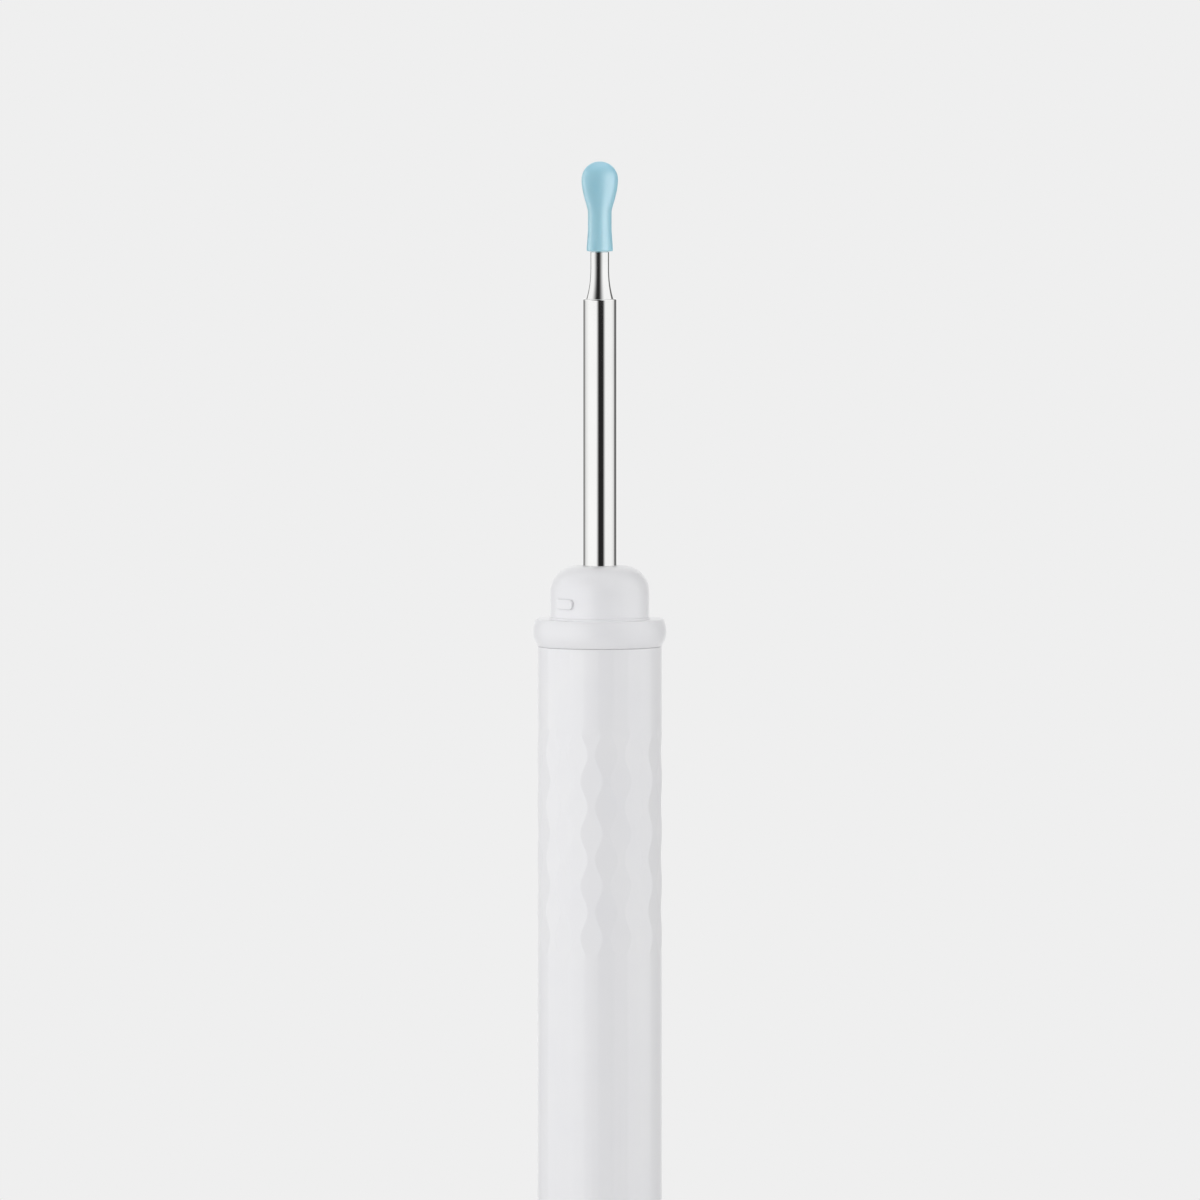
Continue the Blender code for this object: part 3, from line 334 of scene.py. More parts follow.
# Modelling helpers, which work as by hand: a primitive, then edit mode


def activate(piece: Piece) -> None:
    """Select only one piece and make it the active one.

    Args:
        piece: the object.
    """
    bpy.ops.object.select_all(action="DESELECT")
    piece.select_set(True)
    bpy.context.view_layer.objects.active = piece


@contextmanager
def editing(piece: Piece, mode: str = "VERT", test: Test | None = None) -> Iterator[None]:
    """Open a piece in edit mode, and close it again at the end.

    Args:
        piece: the mesh object to edit.
        mode: VERT, EDGE or FACE, what selecting works on.
        test: is given the corner points of each edge or face and says whether it starts selected.

    Yields:
        Nothing, once the piece is open.
    """
    if test:
        mesh = piece.data
        points = [vertex.co.copy() for vertex in mesh.vertices]
        for vertex in mesh.vertices:
            vertex.select = False
        for kind, items in (("EDGE", mesh.edges), ("FACE", mesh.polygons)):
            for item in items:
                item.select = mode == kind and test([points[i] for i in item.vertices])
    activate(piece)
    bpy.context.tool_settings.mesh_select_mode = [mode == kind for kind in ("VERT", "EDGE", "FACE")]
    bpy.ops.object.mode_set(mode="EDIT")
    yield
    bpy.ops.object.mode_set(mode="OBJECT")


def primitive(add: Callable[..., set[str]], name: str, **settings: object) -> Piece:
    """Add a primitive with its place in its mesh.

    Args:
        add: the operator that adds it.
        name: the new object's name.
        **settings: the operator's own settings.

    Returns:
        The new object, selected alone.
    """
    bpy.ops.object.select_all(action="DESELECT")
    add(**settings)
    piece = bpy.context.object
    piece.name = name
    bpy.ops.object.transform_apply(location=True, rotation=True, scale=True)
    return piece


def slab(name: str, size: Place, centre: Place) -> Piece:
    """Add a block of that size about a centre, to be shaped further."""
    return primitive(bpy.ops.mesh.primitive_cube_add, name, size=1, scale=size, location=centre)


def rod(
    name: str, radius: float, length: float, centre: Place, turn: Place = (0, 0, 0), sides: int = 96
) -> Piece:
    """Add a round rod of that length about a centre, upright unless it is turned."""
    settings = {"vertices": sides, "radius": radius, "depth": length, "location": centre, "rotation": turn}
    return primitive(bpy.ops.mesh.primitive_cylinder_add, name, **settings)


def extrude(rise: float) -> None:
    """Pull the selected faces straight up by that distance."""
    bpy.ops.mesh.extrude_region_move(TRANSFORM_OT_translate={"value": (0, 0, rise)})


def seal(piece: Piece) -> Piece:
    """Merge doubled points and turn all faces outwards.

    Args:
        piece: the mesh object.

    Returns:
        The same object.
    """
    with editing(piece):
        bpy.ops.mesh.select_all(action="SELECT")
        bpy.ops.mesh.remove_doubles(threshold=MERGE)
        bpy.ops.mesh.normals_make_consistent(inside=False)
    return piece


def apply_modifier(piece: Piece, kind: str, **settings: object) -> None:
    """Add a modifier to a piece, set it up and apply it.

    Args:
        piece: the mesh object.
        kind: the modifier's type.
        **settings: its properties.
    """
    activate(piece)
    bpy.ops.object.modifier_add(type=kind)
    step = piece.modifiers[-1]
    for name, value in settings.items():
        setattr(step, name, value)
    bpy.ops.object.modifier_apply(modifier=step.name)


def combine(piece: Piece, tool: Piece, operation: str = "DIFFERENCE") -> None:
    """Cut a piece with a tool, or join the two with UNION, and use the tool up."""
    apply_modifier(piece, "BOOLEAN", operation=operation, solver="EXACT", object=tool)
    bpy.data.objects.remove(tool, do_unlink=True)


def move_points(piece: Piece, rule: Callable[[np.ndarray], np.ndarray]) -> Piece:
    """Move all points of a piece by a rule.

    Args:
        piece: the mesh object.
        rule: turns an array of points, one row each, into the new points.

    Returns:
        The same object.
    """
    mesh = piece.data
    points = np.empty(len(mesh.vertices) * 3, np.float32)
    mesh.vertices.foreach_get("co", points)
    mesh.vertices.foreach_set("co", rule(points.reshape(-1, 3).astype(float)).astype(np.float32).ravel())
    mesh.update()
    return piece


def ease(share: float | np.ndarray) -> float | np.ndarray:
    """Give a soft step, level at both ends, from 0 to 1 as the share goes from 0 to 1."""
    return share * share * (3 - 2 * share)


def arc(centre: Point, radius: float, start: float, end: float, steps: int) -> list[Point]:
    """Give points on an arc between two angles in degrees, both ends included, in that many steps."""
    angles = [math.radians(start + (end - start) * i / steps) for i in range(steps + 1)]
    return [(centre[0] + radius * math.cos(a), centre[1] + radius * math.sin(a)) for a in angles]


def rounded(corners: list[tuple[float, ...]], steps: int = 5) -> list[Point]:
    """Give an outline whose corners are rounded where they carry a radius.

    Args:
        corners: (radius, height) or (radius, height, corner radius) each.
        steps: how many straight runs a round corner has.

    Returns:
        The outline's points.
    """
    outline = []
    for i, (x, y, *fillet) in enumerate(corners):
        corner = Vector((x, y))
        if not fillet:
            outline.append((x, y))
            continue
        before = (Vector(corners[i - 1][:2]) - corner).normalized()
        after = (Vector(corners[(i + 1) % len(corners)][:2]) - corner).normalized()
        half = before.angle(after) / 2
        centre = corner + (before + after).normalized() * fillet[0] / math.sin(half)
        first, last = (corner + side * fillet[0] / math.tan(half) - centre for side in (before, after))
        spokes = (first.lerp(last, step / steps).normalized() * fillet[0] for step in range(steps + 1))
        outline += [tuple(centre + spoke) for spoke in spokes]
    return outline


def turned(name: str, outline: list[Point], segments: int = 128, closed: bool = True) -> Piece:
    """Turn an outline about the Z axis, as on a lathe.

    Args:
        name: the new object's name.
        outline: (radius, height) points; an open one starts and ends on the axis.
        segments: how many faces go round.
        closed: whether the last point joins the first.

    Returns:
        The new object.
    """
    radius, height = outline[0]
    piece = primitive(bpy.ops.mesh.primitive_plane_add, name, size=MM, location=(radius, 0, height))
    path = outline[1:] + outline[:1] if closed else outline[1:]
    with editing(piece):
        bpy.ops.mesh.select_all(action="SELECT")
        bpy.ops.mesh.merge(type="CENTER")
        for next_radius, next_height in path:
            step = (next_radius - radius, 0, next_height - height)
            bpy.ops.mesh.extrude_vertices_move(TRANSFORM_OT_translate={"value": step})
            radius, height = next_radius, next_height
        bpy.ops.mesh.select_all(action="SELECT")
        bpy.ops.mesh.spin(steps=segments, angle=math.tau, center=(0, 0, 0), axis=(0, 0, 1))
    return seal(piece)


def face_front(piece: Piece, height: float) -> Piece:
    """Turn a piece made along +Z so that it points to the front at that height."""
    turn = np.array(Matrix.Rotation(math.pi / 2, 3, "X"))
    return move_points(piece, lambda points: points @ turn.T + (0, 0, height))


def bevel_edges(piece: Piece, width: float, segments: int, test: Test) -> Piece:
    """Round the edges of a piece that pass a test.

    Args:
        piece: the mesh object.
        width: how far the rounding reaches from each edge.
        segments: how many faces it has.
        test: is given an edge's two ends and says whether it is rounded.

    Returns:
        The same object.
    """
    with editing(piece, "EDGE", test):
        bpy.ops.mesh.bevel(offset=width, segments=segments, profile=0.5, affect="EDGES")
    return piece


def stadium(name: str, width: float, height: float, low: float, high: float) -> Piece:
    """Make an upright bar with half-round ends: its width runs along X and its height along Y."""
    bar = slab(name, (width, height, high - low), (0, 0, (low + high) / 2))
    return seal(bevel_edges(bar, height / 2 - MERGE, 12, lambda ends: abs(ends[0].z - ends[1].z) > MERGE))


def dress(piece: Piece, finish: Finish, *nodes: str, body: Body = Body.HANDLE, smooth: float = 30.0) -> None:
    """Shade a finished piece, give it its finish and let it ride.

    Args:
        piece: the mesh object.
        finish: what it is made of.
        *nodes: the solids of the frame that it stands for.
        body: the body it rides on.
        smooth: the largest angle, in degrees, that is shaded smooth.
    """
    activate(piece)
    bpy.ops.object.shade_smooth_by_angle(angle=math.radians(smooth), keep_sharp_edges=False)
    apply_modifier(piece, "WEIGHTED_NORMAL", keep_sharp=True)
    piece.data.materials.clear()
    piece.data.materials.append(finish.material())
    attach(piece, body.value)
    if nodes:
        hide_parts(*nodes)
    log.info("%s: %d faces, %s", piece.name, len(piece.data.polygons), finish.name)


# The handle and its tail


@dataclass
class Handle:
    """The white handle: grip sleeve, tail cap and charging socket."""

    radius: float = 6.42 * MM
    bore: float = 5.32 * MM
    bottom: float = 2.6 * MM
    top: float = 90.28 * MM
    edge: float = 0.08 * MM
    facets: int = 26
    first_facet: float = math.radians(-7.7)
    grip_bottom: float = 57.9 * MM
    grip_top: float = 82.5 * MM
    grip_fade: float = 1.3 * MM
    grip_ring: float = 0.15 * MM
    wave_length: float = 5.39 * MM
    wave_crest: float = 76.7 * MM
    wave_swing: float = math.radians(3.35)
    ridge_half: float = math.radians(0.5)
    ridge_spread: float = 2.2
    ridge_drop: float = 0.004 * MM
    button_hole: float = 2.35 * MM
    light_hole: float = 0.77 * MM
    drill_length: float = 4 * MM
    flange: float = 2.5 * MM
    tail_round: float = 0.9 * MM
    tail_top: float = 8 * MM
    tail_sides: int = 144
    socket_width: float = 8.94 * MM
    socket_height: float = 3.26 * MM
    socket_lead: float = 0.2 * MM
    socket_mouth: float = 0.4 * MM
    socket_end: float = 7.7 * MM
    socket_wall: float = 0.3 * MM
    tongue_bottom: float = 1.2 * MM
    tongue_size: Point = (6.7 * MM, 0.7 * MM)
    tongue_edge: float = 0.15 * MM
    root_length: float = 1.6 * MM
    root_swell: Point = (1.23, 3.65)
    contact_size: Place = (0.26 * MM, 0.06 * MM, 3.2 * MM)
    contact_edge: float = 0.02 * MM
    contact_pitch: float = 0.5 * MM
    contacts: int = 12

    def facet_columns(self) -> list[float]:
        """Give the columns across one facet, from 0 to 1, with two close to each ridge to keep it narrow."""
        near = self.ridge_half * self.facets / math.tau
        far = self.ridge_spread * near
        return [0.0, near, far, 0.5, 1 - far, 1 - near]

    def shape_grip(self, points: np.ndarray) -> np.ndarray:
        """Move the points of the round sleeve onto the wavy facets.

        Args:
            points: the points of the sleeve, in even columns.

        Returns:
            The points on the facets, faded into the round at both ends.
        """
        columns = self.facet_columns()
        radius = np.hypot(points[:, 0], points[:, 1])
        height = points[:, 2]
        turn = np.arctan2(points[:, 0], -points[:, 1])
        index = np.rint(turn / math.tau * self.facets * len(columns)).astype(int)
        facet, column = np.divmod(index, len(columns))
        share = np.array(columns)[column]

        low = np.clip((height - self.grip_bottom) / self.grip_fade, 0, 1)
        high = np.clip((self.grip_top - height) / self.grip_fade, 0, 1)
        fade_out = ease(low) * ease(high)
        swing = self.wave_swing * np.cos(math.tau * (height - self.wave_crest) / self.wave_length)
        half = math.pi / self.facets + np.where(facet % 2 == 0, 1, -1) * swing * fade_out
        middle = self.first_facet + facet * math.tau / self.facets
        angle = middle + half * (2 * share - 1)
        flat = self.radius * np.cos(half) / np.cos(angle - middle) - self.ridge_drop * (column == 0)
        outside = radius > (self.radius + self.bore) / 2
        reach = np.where(outside, radius + fade_out * (flat - self.radius), radius)
        return np.array([reach * np.sin(angle), -reach * np.cos(angle), height]).T

    def make_sleeve(self) -> None:
        """Make the sleeve with its grip band and its two holes."""
        rings = int((self.grip_top - self.grip_bottom) / self.grip_ring)
        band = [(self.radius, self.grip_bottom + i * self.grip_ring) for i in range(rings + 1)]
        corners = [(self.bore, self.bottom), (self.radius, self.bottom, self.edge), *band]
        corners += [(self.radius, self.top, self.edge), (self.bore, self.top)]
        sleeve = turned("grip_sleeve", rounded(corners), self.facets * len(self.facet_columns()))
        move_points(sleeve, self.shape_grip)
        for radius, height in ((self.button_hole, BUTTON_Z), (self.light_hole, LIGHT_Z)):
            place = (0, -self.radius, height)
            combine(sleeve, rod("hole_drill", radius, self.drill_length, place, (math.pi / 2, 0, 0)))
        dress(sleeve, WHITE_ABS, "handle_sleeve", smooth=25)

    def make_tail_cap(self) -> None:
        """Make the tail cap with the opening that leads a plug in."""
        spigot = self.bore - SEAT
        corners = [(0, 0), (self.radius, 0, self.tail_round), (self.radius, self.flange, self.edge)]
        corners += [(spigot, self.flange), (spigot, self.tail_top), (0, self.tail_top)]
        cap = turned("tail_end_cap", rounded(corners, 8), self.tail_sides, closed=False)
        width, height = self.socket_width + 2 * SLIP, self.socket_height + 2 * SLIP
        combine(cap, stadium("socket_opening", width, height, -MM, self.tail_top + MM))
        lead = stadium("socket_lead_in", width, height, -self.socket_lead, self.socket_lead)
        # The lower face grows on each side by the height, so that the walls slope at 45 degrees
        wider = (1 + 4 * self.socket_lead / width, 1 + 4 * self.socket_lead / height, 1)
        with editing(lead, "FACE", lambda points: all(point.z < 0 for point in points)):
            bpy.ops.transform.resize(value=wider, center_override=(0, 0, 0))
        combine(cap, lead)
        dress(cap, WHITE_ABS, "tail_cap", smooth=25)

    def make_socket(self) -> None:
        """Make the socket's plated shell and its tongue with the thicker root."""
        low, high = self.socket_mouth, self.socket_end
        shell = stadium("socket_shell", self.socket_width, self.socket_height, low, high)
        with editing(shell, "FACE", lambda points: all(point.z < low + MERGE for point in points)):
            bpy.ops.mesh.inset(thickness=self.socket_wall)
            extrude(high - low - self.socket_wall)
        dress(seal(shell), TINNED_STEEL, "usb_shell")

        low, high = self.tongue_bottom, self.socket_end - self.socket_wall - SEAT
        tongue = slab("socket_tongue", (*self.tongue_size, high - low), (0, 0, (high + low) / 2))
        bevel_edges(tongue, self.tongue_edge, 3, lambda ends: all(end.z < low + MERGE for end in ends))
        with editing(tongue, "FACE", lambda points: all(point.z > high - MERGE for point in points)):
            bpy.ops.transform.translate(value=(0, 0, -self.root_length))
            extrude(0)
            bpy.ops.transform.resize(value=(*self.root_swell, 1), center_override=(0, 0, 0))
            extrude(self.root_length)
        dress(seal(tongue), BLACK_NYLON, "usb_tongue")

    def make_contacts(self) -> None:
        """Make the two rows of plated contacts on the tongue."""
        pitch, half = self.contact_pitch, self.tongue_size[1] / 2
        middle = self.tongue_bottom + self.contact_pitch + self.contact_size[2] / 2
        corner = ((1 - self.contacts) * pitch / 2, -half, middle)
        strip = slab("socket_contacts", self.contact_size, corner)
        bevel_edges(strip, self.contact_edge, 2, lambda ends: True)
        for count, step in ((self.contacts, (pitch, 0, 0)), (2, (0, 2 * half, 0))):
            apply_modifier(
                strip, "ARRAY", count=count, use_relative_offset=False, use_constant_offset=True,
                constant_offset_displace=step,
            )
        dress(strip, PLATED_GOLD)

    def build(self) -> None:
        """Make all pieces of the handle."""
        for make in (self.make_sleeve, self.make_tail_cap, self.make_socket, self.make_contacts):
            make()


# The button and the light at the front


@dataclass
class Controls:
    """The power button and the small light above it."""

    button_radius: float = 2.25 * MM
    button_face: float = 6.54 * MM
    button_edge: float = 0.16 * MM
    button_sides: int = 96
    dish_radius: float = 1.85 * MM
    dish_depth: float = 0.1 * MM
    dish_rings: int = 10
    bend_start: float = 5 * MM
    bend_end: float = 5.6 * MM
    flange_radius: float = 2.75 * MM
    flange_inner: float = 3.9 * MM
    flange_outer: float = 4.4 * MM
    stem_radius: float = 1.0 * MM
    stem_end: float = 3.45 * MM
    light_radius: float = 0.72 * MM
    light_inner: float = -0.95 * MM
    light_face: float = 6.4 * MM
    light_edge: float = 0.04 * MM
    light_bulge: float = 0.1 * MM
    light_sides: int = 64
    light_flange: float = 1.2 * MM
    light_flange_face: float = 5.05 * MM

    def follow_handle(self, points: np.ndarray) -> np.ndarray:
        """Bend the points of the button's face, which looks to -Y, back to follow the round handle."""
        drop = self.button_face - np.sqrt(self.button_face ** 2 - points[:, 0] ** 2)
        return points + np.outer(drop * np.clip((-points[:, 1] - self.bend_start) / MM, 0, 1), (0, 1, 0))

    def make_button(self) -> None:
        """Make the button: a shallow dish on a flanged body."""
        dish = [i / self.dish_rings * self.dish_radius for i in range(self.dish_rings + 1)]
        face = [(r, self.button_face - self.dish_depth * (1 - (r / dish[-1]) ** 2)) for r in dish]
        corners = [(0, self.stem_end), (self.stem_radius, self.stem_end)]
        corners += [(self.stem_radius, self.flange_inner), (self.flange_radius, self.flange_inner)]
        corners += [(self.flange_radius, self.flange_outer)]
        corners += [(self.button_radius, self.flange_outer), (self.button_radius, self.bend_end)]
        corners += [(self.button_radius, self.button_face, self.button_edge), *face[::-1]]
        button = turned("button_cap", rounded(corners), self.button_sides, closed=False)
        move_points(face_front(button, BUTTON_Z), self.follow_handle)
        dress(button, WHITE_ABS, "power_button", body=Body.BUTTON)

    def make_light(self) -> None:
        """Make the milky light pipe with its slightly domed end."""
        corners = [(0, self.light_inner), (self.light_radius, self.light_inner)]
        corners += [(self.light_radius, self.flange_outer), (self.light_flange, self.flange_outer)]
        corners += [(self.light_flange, self.light_flange_face), (self.light_radius, self.light_flange_face)]
        corners += [(self.light_radius, self.light_face - self.light_bulge, self.light_edge)]
        corners += [(self.light_radius / 2, self.light_face - self.light_bulge / 5), (0, self.light_face)]
        pipe = turned("light_pipe", rounded(corners), self.light_sides, closed=False)
        dress(face_front(pipe, LIGHT_Z), MILKY_ACRYLIC, "status_light_pipe")

    def build(self) -> None:
        """Make the button and the light pipe."""
        self.make_button()
        self.make_light()


# The head with the camera tube


@dataclass
class Head:
    """The collar, the dome with its lugs, the steel tube and the neck."""

    sides: int = 160
    collar_bottom: float = 90.3 * MM
    collar_top: float = 93.12 * MM
    collar_radius: float = 6.9 * MM
    bulge_z: float = 91.87 * MM
    bulge_arc: float = 2.55 * MM
    collar_edge: float = 0.14 * MM
    recess_edge: float = 0.02 * MM
    spigot: float = 5.27 * MM
    spigot_bottom: float = 85.5 * MM
    collar_bore: float = 3.6 * MM
    ledge: float = 91.1 * MM
    sink: float = 0.3 * MM
    dome_radius: float = 5.12 * MM
    dome_top: float = 98.6 * MM
    dome_corner: float = 2.7 * MM
    bead: float = 0.1 * MM
    dome_inner: float = 3.95 * MM
    dome_spigot: float = 4.55 * MM
    dome_ceiling: float = 97.2 * MM
    ceiling_slope: float = 1.0 * MM
    lug_angles: Point = (-45.0, 135.0)
    lug_width: float = 2.4 * MM
    lug_corner: float = 0.35 * MM
    lug_edge: float = 0.09 * MM
    lug_root: float = 4.7 * MM
    lug_radius: float = 5.42 * MM
    lug_bottom: float = 94.28 * MM
    lug_top: float = 95.3 * MM
    lug_cuts: int = 16
    tube_radius: float = 1.75 * MM
    tube_bore: float = 1.5 * MM
    tube_bottom: float = 88.35 * MM
    tube_top: float = 126.13 * MM
    tube_edge: float = 0.13 * MM
    neck_bottom: float = 121.9 * MM
    neck_foot: float = 126.135 * MM
    neck_radius: float = 0.98 * MM
    neck_flare: float = 0.45 * MM
    neck_flare_length: float = 3.3 * MM
    neck_flare_power: float = 2.3
    neck_flare_rings: int = 40
    neck_shoulder: float = 130.98 * MM
    neck_top: float = 134.9 * MM
    neck_edge: float = 0.05 * MM
    neck_spigot: float = 0.85 * MM
    spigot_edge: float = 0.08 * MM
    neck_bore: float = 0.65 * MM
    neck_chamber: float = 1.2 * MM
    chamber_top: float = 125.5 * MM
    chamber_slope_top: float = 126.7 * MM

    def make_collar(self) -> None:
        """Make the barrel-sided collar with the recess that takes the dome."""
        ends = (self.collar_bottom, self.collar_top)
        low, high = (math.degrees(math.asin((end - self.bulge_z) / self.bulge_arc)) for end in ends)
        side = arc((self.collar_radius - self.bulge_arc, self.bulge_z), self.bulge_arc, low, high, 20)
        recess = self.dome_radius + self.bead + SEAT / 3
        floor = self.collar_top - self.sink
        corners = [(self.spigot, self.collar_bottom), (*side[0], self.collar_edge / 2), *side[1:-1]]
        corners += [(*side[-1], self.collar_edge), (recess, self.collar_top, self.recess_edge)]
        corners += [(recess, floor), (self.dome_spigot + SEAT, floor), (self.dome_spigot + SEAT, self.ledge)]
        corners += [(self.collar_bore, self.ledge), (self.collar_bore, self.spigot_bottom)]
        corners += [(self.spigot, self.spigot_bottom)]
        dress(turned("barrel_collar", rounded(corners), self.sides), WHITE_ABS, "head_collar")

    def make_lug(self, name: str, turn: float) -> Piece:
        """Make one raised lug, bent round the dome.

        Args:
            name: the new object's name.
            turn: its direction in degrees, from the front towards +X.

        Returns:
            The lug.
        """
        size = (self.lug_width, self.lug_radius - self.lug_root, self.lug_top - self.lug_bottom)
        middle = (0, -(self.lug_radius + self.lug_root) / 2, (self.lug_top + self.lug_bottom) / 2)
        lug = slab(name, size, middle)
        bevel_edges(lug, self.lug_corner, 8, lambda ends: abs((ends[0] - ends[1]).y) > size[1] / 2)
        bevel_edges(lug, self.lug_edge, 4, lambda ends: all(end.y < MERGE - self.lug_radius for end in ends))
        with editing(lug):
            for step in range(1, self.lug_cuts):
                bpy.ops.mesh.select_all(action="SELECT")
                cut = (self.lug_width * (step / self.lug_cuts - 0.5), 0, 0)
                bpy.ops.mesh.bisect(plane_co=cut, plane_no=(1, 0, 0))

        def bend(points: np.ndarray) -> np.ndarray:
            """Bend flat points round the dome's axis."""
            angle = points[:, 0] / self.lug_radius + math.radians(turn)
            return np.array([-np.sin(angle) * points[:, 1], np.cos(angle) * points[:, 1], points[:, 2]]).T

        return seal(move_points(lug, bend))

    def make_dome(self) -> None:
        """Make the round-shouldered dome and join its two lugs to it."""
        foot = self.collar_top - self.sink + SEAT
        low = self.ledge + SEAT
        mouth = self.tube_radius + SEAT
        bead = (self.dome_radius + self.bead, self.collar_top + 2 * self.bead)
        shoulder = (self.dome_radius - self.dome_corner, self.dome_top - self.dome_corner)
        corners = [(self.dome_inner, low), (self.dome_spigot, low), (self.dome_spigot, foot)]
        corners += [(bead[0], foot), (*bead, 0.9 * self.bead), (self.dome_radius, bead[1])]
        corners += arc(shoulder, self.dome_corner, 0, 90, 32)
        corners += [(mouth, self.dome_top, self.collar_edge), (mouth, self.dome_ceiling)]
        corners += [(self.dome_inner - self.ceiling_slope, self.dome_ceiling)]
        corners += [(self.dome_inner, self.dome_ceiling - self.ceiling_slope)]
        dome = turned("lugged_dome", rounded(corners), self.sides)
        for number, turn in enumerate(self.lug_angles, start=1):
            combine(dome, self.make_lug(f"dome_lug_{number}", turn), "UNION")
        dress(dome, WHITE_ABS, "head_dome")

    def make_tube(self) -> None:
        """Make the polished tube with its rounded end."""
        corners = [(self.tube_bore, self.tube_bottom), (self.tube_radius, self.tube_bottom)]
        corners += [(self.tube_radius, self.tube_top, self.tube_edge), (self.tube_bore, self.tube_top)]
        dress(turned("camera_tube", rounded(corners, 10), self.sides), POLISHED_TUBE, "lens_tube")

    def flare(self, rise: float) -> float:
        """Give the neck's radius at a rise above its foot, where it sweeps in to its stem."""
        share = max(1 - rise / self.neck_flare_length, 0)
        return self.neck_radius + self.neck_flare * share ** self.neck_flare_power

    def make_neck(self) -> None:
        """Make the turned neck, which plugs the tube and carries the tip."""
        plug = self.tube_bore - SEAT / 2
        rings = self.neck_flare_rings
        sweep = [self.neck_flare_length * i / rings for i in range(rings + 1)]
        corners = [(self.neck_chamber, self.neck_bottom), (plug, self.neck_bottom), (plug, self.neck_foot)]
        corners += [(self.flare(rise), self.neck_foot + rise) for rise in sweep]
        corners += [(self.neck_radius, self.neck_shoulder, self.neck_edge)]
        corners += [(self.neck_spigot, self.neck_shoulder)]
        corners += [(self.neck_spigot, self.neck_top, self.spigot_edge)]
        corners += [(self.neck_bore, self.neck_top, self.neck_edge)]
        corners += [(self.neck_bore, self.chamber_slope_top), (self.neck_chamber, self.chamber_top)]
        dress(turned("camera_neck", rounded(corners)), TURNED_STEEL, "lens_neck")

    def build(self) -> None:
        """Make all pieces of the head."""
        for make in (self.make_collar, self.make_dome, self.make_tube, self.make_neck):
            make()


# The camera's front, seen through the scoop


@dataclass
class Optics:
    """The window, the lens, its barrel and the ring of the light guide."""

    sides: int = 64
    window_sides: int = 96
    window_bottom: float = 134.55 * MM
    window_top: float = 134.85 * MM
    window_edge: float = 0.05 * MM
    fine_edge: float = 0.02 * MM
    bore: float = 0.65 * MM
    barrel_radius: float = 0.4 * MM
    barrel_bore: float = 0.27 * MM
    barrel_bottom: float = 123.9 * MM
    lens_bottom: float = 133.95 * MM
    lens_top: float = 134.28 * MM
    lens_bulge: float = 0.12 * MM
    lens_rings: int = 8
    guide_bore: float = 0.44 * MM
    guide_bottom: float = 125.1 * MM
    guide_foot: float = 0.3 * MM
    guide_slope: float = 1.35 * MM
    chamber: float = 1.15 * MM

    def build(self) -> None:
        """Make the four pieces of the camera's front."""
        top, edge = self.window_bottom - SEAT, self.fine_edge
        radius = self.bore - SEAT
        pane = [(0, self.window_bottom), (radius, self.window_bottom, edge)]
        pane += [(radius, self.window_top, self.window_edge), (0, self.window_top)]
        window = turned("window_pane", rounded(pane), self.window_sides, closed=False)
        dress(window, CLEAR_GLASS, "front_window")

        radius = self.barrel_bore - SEAT / 2
        shares = [i / self.lens_rings for i in range(self.lens_rings, -1, -1)]
        dome = [(share * radius, self.lens_top - share ** 2 * self.lens_bulge) for share in shares]
        lens = [(0, self.lens_bottom), (radius, self.lens_bottom), *dome]
        dress(turned("coated_lens", lens, self.sides, closed=False), COATED_LENS, "camera_lens")

        bore, outer = self.barrel_bore, self.barrel_radius
        barrel = [(bore, self.barrel_bottom), (outer, self.barrel_bottom), (outer, top, edge)]
        barrel += [(bore + SEAT, top), (bore, top - SLIP)]
        dress(turned("lens_barrel", rounded(barrel), self.sides), BLACK_NYLON, "camera_barrel")

        radius = self.bore - SEAT / 2
        low = self.guide_bottom
        slope = low + self.guide_foot
        guide = [(self.guide_bore, low), (self.chamber, low), (self.chamber, slope)]
        guide += [(radius, slope + self.guide_slope), (radius, top, edge), (self.guide_bore, top, edge)]
        dress(turned("light_guide_ring", rounded(guide), self.sides), MILKY_ACRYLIC, "light_guide")


# The soft tip


